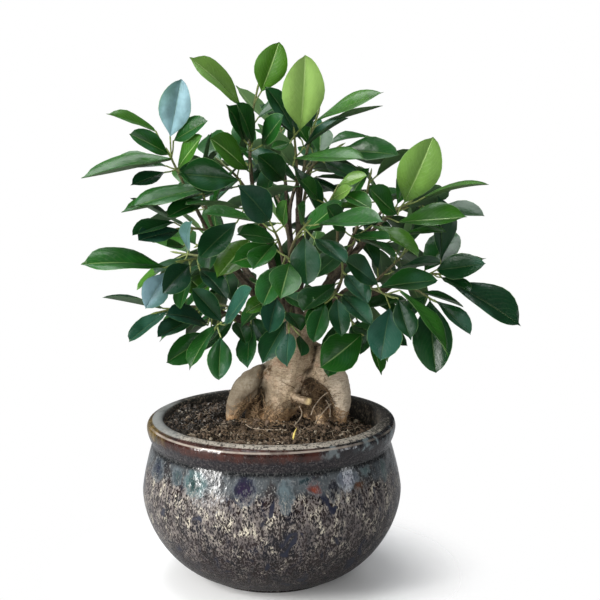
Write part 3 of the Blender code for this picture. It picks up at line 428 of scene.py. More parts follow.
def bar_tree(path, radius):
    """A bar round the path, for telling what it would touch."""
    vertices, faces = [], []
    for i, point in enumerate(path):
        run = (path[min(i + 1, len(path) - 1)] - path[max(i - 1, 0)]).normalized()
        side = run.orthogonal().normalized()
        other = run.cross(side)
        vertices += [point + radius * (cos * side + sin * other) for cos, sin in circle(BAR_SIDES)]
    for i in range(len(path) - 1):
        for a, b in neighbours(BAR_SIDES * i, BAR_SIDES):
            faces += [(a, b, b + BAR_SIDES), (a, b + BAR_SIDES, a + BAR_SIDES)]
    tree = BVHTree.FromPolygons(vertices, faces)
    return Taken("", sum(path, Vector()) / len(path), WIDEST_REACH, tree, False)


def touches(first, second):
    if (first.middle - second.middle).length > first.reach + second.reach:
        return False
    return bool(first.tree.overlap(second.tree))


def lay_out_twigs():
    """The path of every spray's branch and twig, bent clear of the other wood, and all the wood as bars."""
    draw = random.Random(SEED)
    wood = []
    for points in TRUNK_LIMBS.values():
        for first, second in zip(points, points[1:]):
            radius = max(first[3], second[3]) + LEAF_CLEARANCE
            wood.append(bar_tree([Vector(first[:3]), Vector(second[:3])], radius))
    for name in BOUGHS:
        wood.append(bar_tree(bough_path(name), BOUGHS[name].first_radius + LEAF_CLEARANCE))
    paths = {}
    for name, spray in SPRAYS.items():
        for attempt in range(TRIES):
            path = spray_path(spray, draw, MOST_BEND * attempt / TRIES)
            branch, twig = split_path(path)
            bar = bar_tree(twig, TWIG_RADIUS + GAP)
            if not any(touches(bar, other) for other in wood):
                break
        paths[name] = path
        wood.append(bar_tree(branch, BRANCH_RADIUS + GAP))
        wood.append(bar_tree(twig, TWIG_RADIUS + GAP)._replace(spray=name))
    return paths, wood


def unproject(x, y, depth):
    """The point at this depth behind the pot's axis that shows at a pixel of the front view."""
    right = (x - VIEW_MIDDLE) / VIEW_FOCAL
    up = (VIEW_MIDDLE - y) / VIEW_FOCAL
    ray = Vector((right, VIEW_COS + up * VIEW_SIN, up * VIEW_COS - VIEW_SIN))
    return VIEW_PLACE + ray * ((depth - VIEW_PLACE.y) / ray.y)


def project(point):
    """The pixel of the front view where a point shows."""
    ray = point - VIEW_PLACE
    away = ray.y * VIEW_COS - ray.z * VIEW_SIN
    up = ray.y * VIEW_SIN + ray.z * VIEW_COS
    return VIEW_MIDDLE + VIEW_FOCAL * ray.x / away, VIEW_MIDDLE - VIEW_FOCAL * up / away


def square_to(direction, along_this):
    """The part of a direction that is square to another, one long."""
    return (direction - along_this * direction.dot(along_this)).normalized()


def seen_leaf(name, seen, twig, draw, loosen):
    """A leaf aimed from the front view, turned about its midrib until its width shows as seen."""
    nudge = [draw.uniform(-1, 1) * loosen for _ in range(5)]
    spots = [along(twig, number / SPOTS)[0] for number in range(1, SPOTS)]
    nearest = min(spots, key=lambda spot: math.dist(project(spot), (seen.base_x, seen.base_y)))
    depth = nearest.y - SEEN_BEFORE_TWIG + DEPTH_NUDGE * nudge[0]
    tip_x = seen.tip_x + TIP_NUDGE * nudge[1]
    tip_y = seen.tip_y + TIP_NUDGE * nudge[2]
    base = unproject(seen.base_x, seen.base_y, depth)
    tip = unproject(tip_x, tip_y, depth)
    behind = base - (tip - base).normalized() * PETIOLE_LENGTH
    root = min(spots, key=lambda spot: (spot - behind).length)
    length = seen.length / 1000
    lean = math.sqrt(max(length**2 - (tip - base).length_squared, 0.0))
    tip = unproject(tip_x, tip_y, depth - lean + LEAN_NUDGE * nudge[3])
    run = (tip - base).normalized()
    viewer = VIEW_PLACE - base
    shown = seen.width / VIEW_FOCAL * viewer.length
    width = max(shown, SEEN_NARROWEST * (tip - base).length)
    towards = square_to(viewer, run)
    roll = math.acos(min(shown / width, 1.0)) + ROLL_NUDGE * nudge[4]
    outward = Vector((base.x, base.y, 0.0)) * SEEN_SIDEWAYS + Vector((0, 0, 1))
    faces = [Matrix.Rotation(angle, 3, run) @ towards for angle in (roll, -roll)]
    return Leaf(name, root, base, tip, max(faces, key=outward.dot), width)


def grown_leaf(name, spray, number, twig, draw, loosen):
    """A leaf set by the spiral of the twig, reaching out to the side and turned up to the light."""
    share = FIRST_LEAF + LEAF_SPAN * (number + 0.5) / spray.leaves
    root, run = along(twig, share)
    side = run.orthogonal().normalized()
    azimuth = GOLDEN_ANGLE * number + AZIMUTH_PLAY * draw.uniform(-1, 1)
    azimuth += LOOSE_AZIMUTH * loosen * draw.uniform(-1, 1)
    outward = Matrix.Rotation(azimuth, 3, run) @ side
    opening = OPENING - OPENING_CLOSES * share + LOOSE_OPENING * loosen * draw.uniform(-1, 1)
    heading = run * math.cos(opening) + outward * math.sin(opening)
    heading.z -= LEAF_DROOP + LEAF_DROOP_PLAY * draw.random()
    heading.normalize()
    length = spray.length * (1 + LEAF_LENGTH_PLAY * draw.uniform(-1, 1)) * (1 - LOOSE_SHRINK * loosen)
    base = root + (heading + run * PETIOLE_FOLLOWS).normalized() * PETIOLE_LENGTH
    tip = base + heading * length
    away = Vector((base.x - CROWN_MIDDLE[0], base.y - CROWN_MIDDLE[1], 0.0)) * OUTWARD_PULL
    light = Vector((0, 0, 1)) + away + Vector((draw.uniform(-1, 1), draw.uniform(-1, 1), 0)) * FACE_PLAY
    face = square_to(light, heading)
    return Leaf(name, root, base, tip, face, LEAF_WIDTH_SHARE * length * draw.uniform(*LEAF_WIDTH_PLAY))


def outline(share):
    """The blade's half-width at a share of its length, widest a little past the middle."""
    return math.sin(math.pi * share**1.1) ** 0.85 / 2


def leaf_shape(leaf, extra):
    """The leaf's petiole and blade as vertices and faces: the blade is thickest at its midrib."""
    run = (leaf.tip - leaf.base).normalized()
    side = run.cross(leaf.face)
    length = (leaf.tip - leaf.base).length
    vertices = []
    for point, share in ((leaf.root, PETIOLE_TAPER), (leaf.base, 1.0)):
        half = PETIOLE_HALF * share + extra
        vertices += [point - side * half, point + side * half, point - leaf.face * half * PETIOLE_DEPTH]
    thick = LEAF_THICKNESS / 2 + extra
    for share in LEAF_STATIONS:
        middle = leaf.base + run * length * share + leaf.face * length * LEAF_ARCH * 4 * share * (1 - share)
        reach = leaf.width * outline(share) + extra
        edge = leaf.face * reach * LEAF_FOLD
        vertices += [middle - side * reach + edge, middle + leaf.face * thick,
                     middle + side * reach + edge, middle - leaf.face * thick]
    vertices.append(leaf.tip + run * extra)
    faces = [(0, 1, 2), (0, 1, 4), (0, 4, 3), (1, 2, 5), (1, 5, 4), (2, 0, 3), (2, 3, 5)]
    faces += [(3, 7, 6), (3, 4, 7), (4, 8, 7), (3, 6, 9), (3, 9, 5), (4, 5, 9), (4, 9, 8)]
    left, top, right, below = range(6, 10)
    for edge, rib in ((left, top), (right, top), (left, below), (right, below)):
        faces += [(edge, rib, rib + 4), (edge, rib + 4, edge + 4)]
    left, top, right, below, end = range(10, 15)
    faces += [(left, top, end), (top, right, end), (right, below, end), (below, left, end)]
    return vertices, faces


def leaf_trees(leaf, extra=LEAF_CLEARANCE):
    """The leaf's stalk and blade, each a little fattened, for telling what they would touch."""
    vertices, faces = leaf_shape(leaf, extra)
    middle, reach = (leaf.base + leaf.tip) / 2, (leaf.tip - leaf.root).length
    stalk = BVHTree.FromPolygons(vertices, faces[:STALK_FACES])
    blade = BVHTree.FromPolygons(vertices, faces[STALK_FACES:])
    return Taken(leaf.spray, middle, reach, stalk, False), Taken(leaf.spray, middle, reach, blade, True)


def crosses_itself(leaf):
    """Whether the blade runs back into its own stalk."""
    faces = leaf_shape(leaf, 0.0)[1]
    stalk, blade = leaf_trees(leaf, 0.0)
    return any(not set(faces[a]) & set(faces[STALK_FACES + b]) for a, b in stalk.tree.overlap(blade.tree))


def is_clear(leaf, taken):
    """Whether a leaf touches nothing placed before it, apart from the twig that it grows on."""
    stalk_run = leaf.base - leaf.root
    turn = stalk_run.normalized().dot((leaf.tip - leaf.base).normalized())
    if turn < SHARPEST_TURN or stalk_run.length > LONGEST_PETIOLE:
        return False
    if min(leaf.base.z, leaf.tip.z) < LOWEST_LEAF or crosses_itself(leaf):
        return False
    stalk, blade = leaf_trees(leaf)
    for other in taken:
        own_wood = other.spray == leaf.spray and not other.blade
        if not own_wood and (touches(blade, other) or touches(stalk, other)):
            return False
    return True


def set_leaf(make, taken):
    """The first pose of a leaf that is clear, loosened step by step, or nothing where there is no room."""
    for attempt in range(TRIES):
        leaf = make((attempt / TRIES) ** 1.5)
        if is_clear(leaf, taken):
            taken += leaf_trees(leaf)
            return leaf
    return None


def grow_leaves(paths, taken):
    """Each leaf, its tone and whether its tip is round: aimed ones first, then others where there is room."""
    draw = random.Random(SEED + 1)
    twigs = {name: split_path(path)[1] for name, path in paths.items()}
    shade = random.Random(SEED + 2)
    leaves, looks = [], []
    for name, aimed in SEEN_LEAVES.items():
        for row in aimed:
            seen = Seen(*row)
            make = lambda loosen: seen_leaf(name, seen, twigs[name], draw, loosen)
            leaves.append(set_leaf(make, taken))
            looks.append((seen.tone, seen.round_tip))
    for name, spray in SPRAYS.items():
        for number in range(spray.leaves):
            make = lambda loosen: grown_leaf(name, spray, number, twigs[name], draw, loosen)
            leaves.append(set_leaf(make, taken))
            young = 0.42 * number / spray.leaves if spray.leaves > 3 else 0.1
            looks.append((young + shade.uniform(-0.3, 0.25), False))
    return [(leaf, tone, round_tip) for leaf, (tone, round_tip) in zip(leaves, looks) if leaf]


# Nodes and meshes in general

class Nodes:
    """A node tree and the steps that its finish or growth is made of: each gives a socket to go on from."""

    def __init__(self, tree):
        self.tree = tree

    def join(self, node, values):
        """Sets each named or numbered input to a value, or joins it to a socket."""
        for key, value in values.items():
            if isinstance(value, bpy.types.NodeSocket):
                self.tree.links.new(value, node.inputs[key])
            else:
                node.inputs[key].default_value = value
        return node

    def put(self, kind, values=None, **settings):
        """A node with its settings and its inputs."""
        node = self.tree.nodes.new(kind)
        for name, value in settings.items():
            setattr(node, name, value)
        return self.join(node, values or {})

    def maths(self, operation, *values, clamp=False):
        node = self.put("ShaderNodeMath", dict(enumerate(values)), operation=operation, use_clamp=clamp)
        return node.outputs[0]

    def times(self, *values):
        return self.maths("MULTIPLY", *values)

    def times_plus(self, *values, clamp=False):
        """The first times the second plus the third."""
        return self.maths("MULTIPLY_ADD", *values, clamp=clamp)

    def vector(self, operation, *values):
        node = self.put("ShaderNodeVectorMath", dict(enumerate(values)), operation=operation)
        return node.outputs["Value" if operation in ("LENGTH", "DISTANCE", "DOT_PRODUCT") else "Vector"]

    def axes(self, place):
        return self.put("ShaderNodeSeparateXYZ", {0: place}).outputs

    def away(self, place):
        """How far a point is from the pot's axis."""
        return self.vector("LENGTH", self.vector("MULTIPLY", place, (1.0, 1.0, 0.0)))

    def noise(self, place, scale, detail=3.0, roughness=0.6, distortion=0.0):
        values = {"Vector": place, "Scale": scale, "Detail": detail, "Roughness": roughness,
                  "Distortion": distortion}
        return self.put("ShaderNodeTexNoise", values).outputs[0]

    def stretch(self, place, scale):
        return self.put("ShaderNodeMapping", {"Vector": place, "Scale": scale}).outputs[0]

    def step(self, value, low, high, first=0.0, last=1.0):
        """A smooth step of the value from low to high."""
        values = {"Value": value, "From Min": low, "From Max": high, "To Min": first, "To Max": last}
        return self.put("ShaderNodeMapRange", values, interpolation_type="SMOOTHSTEP").outputs[0]

    def blend(self, factor, first, second):
        """A mix of two colours."""
        first, second = [c if isinstance(c, bpy.types.NodeSocket) else (*c, 1.0) for c in (first, second)]
        return self.put("ShaderNodeMix", {0: factor, 6: first, 7: second}, data_type="RGBA").outputs[2]

    def coat(self, base, colour, value, low, high, first=0.0, last=1.0):
        """A colour over the base, from a first share where the value is low to a last where it is high."""
        return self.blend(self.step(value, low, high, first, last), base, colour)

    def ramp(self, value, stops):
        """A colour ramp through (place, colour)."""
        node = self.put("ShaderNodeValToRGB", {0: value})
        while len(node.color_ramp.elements) < len(stops):
            node.color_ramp.elements.new(0.5)
        for element, (place, colour) in zip(node.color_ramp.elements, stops):
            element.position = place
            element.color = (*colour, 1.0)
        return node.outputs[0]

    def bump(self, height, depth, normal=None):
        values = {"Height": height, "Distance": depth, "Strength": 1.0}
        if normal:
            values["Normal"] = normal
        return self.put("ShaderNodeBump", values).outputs[0]

    def attribute(self, name):
        return self.put("ShaderNodeAttribute", attribute_name=name).outputs["Fac"]

    def named(self, name, kind="FLOAT"):
        return self.put("GeometryNodeInputNamedAttribute", {"Name": name}, data_type=kind).outputs[0]

    def specks(self, place, scale, share, softness=0.04):
        values = {"Place": place, "Scale": scale, "Share": share, "Softness": softness}
        group = bpy.data.node_groups.get("specks") or speck_group()
        return self.put("ShaderNodeGroup", values, node_tree=group).outputs[0]


def new_finish(name):
    """A material, its nodes and the place on the piece."""
    material = bpy.data.materials.new(name)
    material.use_nodes = True
    nodes = Nodes(material.node_tree)
    return material, nodes, nodes.put("ShaderNodeTexCoord").outputs["Object"]


def shade(material, colour, roughness, **others):
    """Sets the shader's colour, its roughness and whatever else is given, with _ for a space."""
    values = {"Base Color": colour, "Roughness": roughness}
    values.update({key.replace("_", " "): value for key, value in others.items()})
    Nodes(material.node_tree).join(material.node_tree.nodes["Principled BSDF"], values)
    return material


def new_group(name, kind, sockets):
    """A group of nodes and what comes in by its sockets, each with a name, a kind and a first value."""
    tree = bpy.data.node_groups.new(name, kind)
    for key, sort, value in sockets:
        socket = tree.interface.new_socket(key, in_out="INPUT", socket_type="NodeSocket" + sort)
        if value is not None:
            socket.default_value = value
    return Nodes(tree), tree.nodes.new("NodeGroupInput").outputs


def new_growth(name, *sockets):
    nodes, given = new_group(name, "GeometryNodeTree", (("Geometry", "Geometry", None), *sockets))
    nodes.tree.interface.new_socket("Geometry", in_out="OUTPUT", socket_type="NodeSocketGeometry")
    return nodes, given


def end_growth(nodes, geometry, *coats):
    """Ends a growth: its instances made real, then a finish for the whole and others for what they select."""
    last = nodes.put("GeometryNodeRealizeInstances", {"Geometry": geometry})
    for values in coats:
        last = nodes.put("GeometryNodeSetMaterial", {"Geometry": last.outputs[0], **values})
    nodes.put("NodeGroupOutput", {0: last.outputs[0]})
    return nodes.tree


def shapes_on(nodes, points, shapes, values):
    """One of the collection's shapes on each point."""
    kinds = nodes.put("GeometryNodeCollectionInfo",
                      {"Collection": shapes, "Separate Children": True, "Reset Children": True}).outputs[0]
    values = {"Points": points, "Instance": kinds, "Pick Instance": True, **values}
    return nodes.put("GeometryNodeInstanceOnPoints", values).outputs[0]


def speck_group():
    """Specks of a size, as a mask: more of them where the share is higher."""
    sockets = (("Place", "Vector", None), ("Scale", "Float", 300.0), ("Share", "Float", 0.5),
               ("Softness", "Float", 0.04))
    nodes, given = new_group("specks", "ShaderNodeTree", sockets)
    nodes.tree.interface.new_socket("Mask", in_out="OUTPUT", socket_type="NodeSocketFloat")
    value = nodes.noise(given["Place"], given["Scale"], 2.0, 0.6, 0.6)
    edge = nodes.times_plus(nodes.maths("SUBTRACT", 1.0, given["Share"]), 0.5, 0.25)
    low = nodes.maths("SUBTRACT", edge, given["Softness"])
    high = nodes.maths("ADD", edge, given["Softness"])
    nodes.put("NodeGroupOutput", {"Mask": nodes.step(value, low, high)})
    return nodes.tree


def mesh_object(name, vertices, faces, edges=(), read=None):
    """An object at the origin, with what its growth reads at each point."""
    mesh = bpy.data.meshes.new(name)
    mesh.from_pydata(vertices, edges, faces)
    for key, values in (read or {}).items():
        mark(mesh, key, values)
    return placed(name, mesh)


def placed(name, data):
    """An object of the data, at the origin of the scene."""
    thing = bpy.data.objects.new(name, data)
    bpy.context.scene.collection.objects.link(thing)
    return thing


def turn_outwards(thing, merge=None):
    """Turns the faces outwards, once points closer than the merging distance are one."""
    shape = bmesh.new()
    shape.from_mesh(thing.data)
    if merge:
        bmesh.ops.remove_doubles(shape, verts=shape.verts, dist=merge)
    bmesh.ops.recalc_face_normals(shape, faces=shape.faces)
    shape.to_mesh(thing.data)
    shape.free()


def baked(thing, name=None):
    """A plain mesh object of what the modifiers make, in place of the source."""
    name = name or thing.name
    shown = thing.evaluated_get(bpy.context.evaluated_depsgraph_get())
    made = placed(name, bpy.data.meshes.new_from_object(shown))
    bpy.data.objects.remove(thing, do_unlink=True)
    made.name = made.data.name = name
    return made


def mark(mesh, key, values, domain="POINT"):
    """An attribute of the mesh: a direction, a share or a whole number for each point or face."""
    if isinstance(values[0], tuple):
        values = [part for value in values for part in value]
        mesh.attributes.new(key, "FLOAT_VECTOR", domain).data.foreach_set("vector", values)
    else:
        kind = "FLOAT" if isinstance(values[0], float) else "INT"
        mesh.attributes.new(key, kind, domain).data.foreach_set("value", values)


def clear_away(*collections):
    """Takes the shapes that were strewn or set out of the scene again."""
    for collection in collections:
        for shape in list(collection.objects):
            bpy.data.objects.remove(shape, do_unlink=True)


def grow_by(thing, tree, values):
    """Puts a geometry tree on the object, with its inputs set by name."""
    modifier = thing.modifiers.new(tree.name, "NODES")
    modifier.node_group = tree
    for item in tree.interface.items_tree:
        if item.item_type == "SOCKET" and item.in_out == "INPUT" and item.name in values:
            modifier[item.identifier] = values[item.name]
    return thing


def close_up(thing, material):
    """Turns a shell's faces outwards, rounds its shading and gives it its finish."""
    turn_outwards(thing)
    thing.data.shade_smooth()
    thing.data.materials.clear()
    thing.data.materials.append(material)


def keep_piece(thing, slot, *nodes):
    """Says what the piece rides on and hides the solids it stands for; the slot for its finish is not used.
    """
    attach(thing, "root")
    if nodes:
        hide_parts(*nodes)


# The pot

POT_SEGMENTS = 176
POT_WOBBLE = 0.0007
OVAL_SHARE = 0.5
THROWING_SHARE = 0.6
RISE_SHARE = 0.5
RIM_FINENESS = 7
SHOULDER_STEP = 0.0012
LOWEST_BELLY = 0.0016
# The rim's section: out from the mouth and then from the rim, and down from its top. The foot's: out and up
RIM_INSIDE = metres(((0, 3), (1.4, 0.6), (4.6, 0)))
RIM_OUTSIDE = metres(((-4, 1.4), (-1, 3.6), (0, 7.5), (-1, 12.5), (-2.6, 16.5)))
FOOT_EDGE = metres(((0.8, 1), (0, 0.2), (-1.5, 0)))


def fine_profile():
    """The pot's profile from the floor's middle over the rim to the foot's middle, finer than its solid's."""
    over = [(MOUTH_RADIUS + out, RIM_HEIGHT - down) for out, down in RIM_INSIDE]
    over += [(RIM_RADIUS + out, RIM_HEIGHT - down) for out, down in RIM_OUTSIDE]
    over.append((NECK_RADIUS, NECK_HEIGHT))
    rim = smooth_path([(radius, 0.0, height) for radius, height in over], RIM_FINENESS)
    side = [NECK_HEIGHT - SHOULDER_STEP * i for i in range(1, 40)]
    side = [(shoulder_radius(height), height) for height in side if height > BELLY_HEIGHT]
    lower = [belly_curve(math.pi / 2 * (1 - i / 44)) for i in range(40)]
    lower = [point for point in lower if point[1] > LOWEST_BELLY]
    foot = [(FOOT_RADIUS + out, height) for out, height in FOOT_EDGE]
    return inner_profile() + [(point.x, point.z) for point in rim] + side + lower + foot + [(0.0, 0.0)]


def make_pot(finish):
    """The turned shell, a hair out of true as a thrown pot is."""
    profile = fine_profile()
    vertices, faces = [], []
    for radius, height in profile:
        lift = min(height / RIM_HEIGHT, 1.0)
        for k in range(POT_SEGMENTS if radius else 1):
            turn = 2 * math.pi * k / POT_SEGMENTS
            out = radius + POT_WOBBLE * lift * math.sin(2 * turn + 0.6) * OVAL_SHARE
            out += POT_WOBBLE * THROWING_SHARE * lift * math.sin(5 * turn + 40 * height)
            up = height + POT_WOBBLE * RISE_SHARE * lift * math.sin(3 * turn + 1.1)
            spot = (out * math.cos(turn), out * math.sin(turn), max(up, 0.0))
            vertices.append(spot if radius else (0.0, 0.0, height))
    count, rings = POT_SEGMENTS, len(profile) - 2
    for i in range(rings - 1):
        faces += [(a, b, b + count, a + count) for a, b in neighbours(1 + i * count, count)]
    last = 1 + rings * count
    for (a, b), (c, d) in zip(neighbours(1, count), neighbours(last - count, count)):
        faces += [(0, b, a), (last, c, d)]
    pot = mesh_object("glazed_pot", vertices, faces)
    close_up(pot, finish)
    keep_piece(pot, "glaze", "pot")


# Pools of glass at the shoulder: the turn from the front in degrees, the height, half the width and half the
# height in millimetres, the colour at the heart and the colour round it
POOLS = (
    (-63, 98.5, 11.5, 10, (0.014, 0.018, 0.036), (0.045, 0.056, 0.07)),
    (-46, 100.5, 7, 8, (0.06, 0.09, 0.09), (0.06, 0.082, 0.092)),
    (-35, 98, 12, 12.5, (0.014, 0.042, 0.04), (0.064, 0.115, 0.118)),
    (-22, 101, 6, 7.5, (0.08, 0.084, 0.088), (0.03, 0.032, 0.036)),
    (-11, 98.5, 10, 13.5, (0.016, 0.007, 0.032), (0.015, 0.017, 0.034)),
    (7, 95.5, 7, 16.5, (0.1, 0.136, 0.15), (0.078, 0.104, 0.116)),
    (16, 103, 7.5, 5, (0.006, 0.016, 0.021), (0.02, 0.036, 0.042)),
    (20, 97, 6.8, 6.2, (0.19, 0.036, 0.017), (0.115, 0.058, 0.056)),
    (29, 96, 6, 10, (0.012, 0.013, 0.02), (0.024, 0.024, 0.03)),
    (37, 100, 11, 8.5, (0.055, 0.058, 0.092), (0.1, 0.116, 0.145)),
    (48, 103, 6.5, 5.5, (0.08, 0.125, 0.128), (0.1, 0.14, 0.142)),
    (43, 92.5, 6, 4.5, (0.1, 0.036, 0.016), (0.074, 0.04, 0.024)),
    (62, 98.5, 5.5, 11, (0.078, 0.112, 0.11), (0.086, 0.116, 0.116)),
    (88, 98, 11, 9.5, (0.014, 0.018, 0.036), (0.055, 0.066, 0.082)),
    (112, 99, 9.5, 11.5, (0.02, 0.048, 0.045), (0.068, 0.115, 0.116)),
    (134, 98, 7.5, 7.5, (0.15, 0.034, 0.018), (0.1, 0.05, 0.044)),
    (156, 97.5, 11.5, 11.5, (0.018, 0.009, 0.034), (0.034, 0.034, 0.056)),
    (180, 97.5, 9, 14, (0.075, 0.108, 0.118), (0.095, 0.125, 0.136)),
    (203, 98, 11, 10.5, (0.014, 0.036, 0.036), (0.062, 0.104, 0.105)),
    (226, 98.5, 8.5, 9, (0.014, 0.018, 0.036), (0.048, 0.056, 0.078)),
    (248, 96.5, 10, 12.5, (0.066, 0.094, 0.105), (0.086, 0.112, 0.122)),
    (272, 98.5, 9, 9.5, (0.09, 0.028, 0.016), (0.074, 0.044, 0.038)),
)
POOL_AXIS = 0.099
# How far the noise pushes the pools' edges; its middle is a half, which the centres allow for
POOL_PUSH = (0.013, 0.013, 0.018)


def pools_of(mix, place, colour, flecks):
    """Lays every pool of glass over the colour: a heart, a band round it and a thin pale rim, all ragged."""
    push = mix.put("ShaderNodeTexNoise", {"Vector": place, "Scale": 150, "Detail": 5, "Roughness": 0.72})
    shifted = mix.vector("MULTIPLY_ADD", push.outputs[1], POOL_PUSH, place)
    flow = mix.noise(mix.stretch(place, (1, 1, 0.35)), 420, 3, 0.7)
    flow = mix.step(flow, 0.4, 0.64)
    for turn, height, wide, high, heart, band in POOLS:
        turn = math.radians(turn - 90)
        height, wide, high = metres((height, wide, high))
        middle = (POOL_AXIS * math.cos(turn), POOL_AXIS * math.sin(turn), height)
        centre = [part + reach / 2 for part, reach in zip(middle, POOL_PUSH)]
        away = mix.stretch(mix.vector("SUBTRACT", shifted, centre), (1 / wide, 1 / wide, 1 / high))
        away = mix.vector("LENGTH", away)
        glass = mix.coat(heart, band, away, 0.25, 0.66)
        dark = tuple(0.3 * part for part in band)
        glass = mix.blend(mix.times(flow, 0.6), glass, dark)
        edge = mix.times(mix.step(away, 0.7, 0.86), 0.5)
        glass = mix.blend(edge, glass, (0.15, 0.17, 0.182))
        cover = mix.step(away, 0.84, 1.06, 0.92, 0)
        cover = mix.times(cover, mix.times_plus(flecks, -0.35, 1))
        colour = mix.blend(cover, colour, glass)
    return colour


def flecked_belly(mix, place, runny, height):
    """The belly's ground with its flecks, and where the flecks are."""
    patch = mix.noise(runny, 85, 3, 0.6, 0.6)
    ground = mix.ramp(patch, ((0.32, (0.004, 0.005, 0.011)), (0.45, (0.009, 0.007, 0.007)),
                              (0.56, (0.019, 0.011, 0.01)), (0.68, (0.008, 0.01, 0.02))))

    # Flecks: dense and creamy on the upper belly, duller towards the foot, thin at the shoulder
    upper = mix.step(height, 0.014, 0.08)
    drifts = mix.noise(mix.stretch(place, (1, 1, 0.34)), 105)
    share = mix.times_plus(drifts, 0.6, 0.1)
    share = mix.times_plus(upper, 0.1, share)
    share = mix.times(share, mix.step(height, 0.088, 0.1, 1, 0.58))
    flecks = mix.specks(mix.stretch(place, (1, 1, 0.5)), 820, share, 0.035)
    blots = mix.specks(runny, 72, 0.2, 0.04)
    flecks = mix.times(flecks, mix.times_plus(blots, -0.9, 1, clamp=True))
    tint = mix.noise(runny, 150, 4, 0.7)
    tint = mix.times_plus(upper, 0.13, mix.maths("SUBTRACT", tint, 0.1))
    cream = mix.ramp(tint, ((0.34, (0.048, 0.042, 0.044)), (0.46, (0.118, 0.1, 0.096)),
                            (0.57, (0.225, 0.198, 0.175)), (0.68, (0.58, 0.53, 0.42))))
    cool = mix.step(height, 0.09, 0.1, 0, 0.75)
    cream = mix.blend(cool, cream, (0.185, 0.197, 0.195))
    body = mix.blend(flecks, ground, cream)
    body = mix.blend(mix.times(blots, 0.7), body, (0.014, 0.019, 0.04))
    film = mix.times(mix.step(height, 0.089, 0.097), mix.step(mix.noise(runny, 64, 4, 0.65), 0.4, 0.56, 0.2,
                                                              0.78))
    body = mix.blend(film, body, (0.078, 0.09, 0.097))
    return body, flecks


def rim_glaze(mix, place, runny, drift, height):
    """The rim: maroon over black, olive to the left, dark with pale bluish patches to the right."""
    rim = mix.ramp(mix.noise(runny, 75, 4, 0.6),
                   ((0.34, (0.012, 0.006, 0.005)), (0.5, (0.036, 0.012, 0.009)),
                    (0.66, (0.06, 0.02, 0.014))))
    olive = mix.ramp(mix.noise(runny, 120, 2, 0.6),
                     ((0.36, (0.03, 0.022, 0.008)), (0.62, (0.13, 0.085, 0.02))))
    rim = mix.coat(rim, olive, drift, -0.09, -0.07, 1, 0)
    slip = mix.ramp(mix.noise(runny, 100), ((0.44, (0.012, 0.012, 0.014)), (0.55, (0.03, 0.036, 0.04)),
                                            (0.6, (0.18, 0.22, 0.23))))
    rim = mix.coat(rim, slip, drift, 0.034, 0.058, 0, 0.9)
    ragged = mix.times_plus(mix.noise(runny, 240), 0.006, height)
    below = mix.step(ragged, RIM_HEIGHT - 0.01, RIM_HEIGHT - 0.006)
    under_rim = mix.blend(mix.specks(place, 620, 0.38, 0.06), (0.01, 0.008, 0.011), (0.056, 0.049, 0.049))
    rim = mix.blend(below, under_rim, rim)
    return rim


def dusty_top(mix, place, back, drift):
    """The rim's top: dusty, most of all at the front, and pale grey to the left as a painted reflection."""
    front = mix.step(back, -0.08, 0.01, 1, 0)
    dust = mix.specks(place, 560, mix.times_plus(front, 0.38, 0.22), 0.06)
    top = mix.blend(dust, (0.03, 0.026, 0.022), (0.45, 0.405, 0.345))
    # Painted reflection: the top turns paler grey to the left.
    painted_reflection_left = mix.step(drift, -0.086, -0.05, 0.85, 0)
    top = mix.blend(painted_reflection_left, top, (0.265, 0.275, 0.265))
    return top


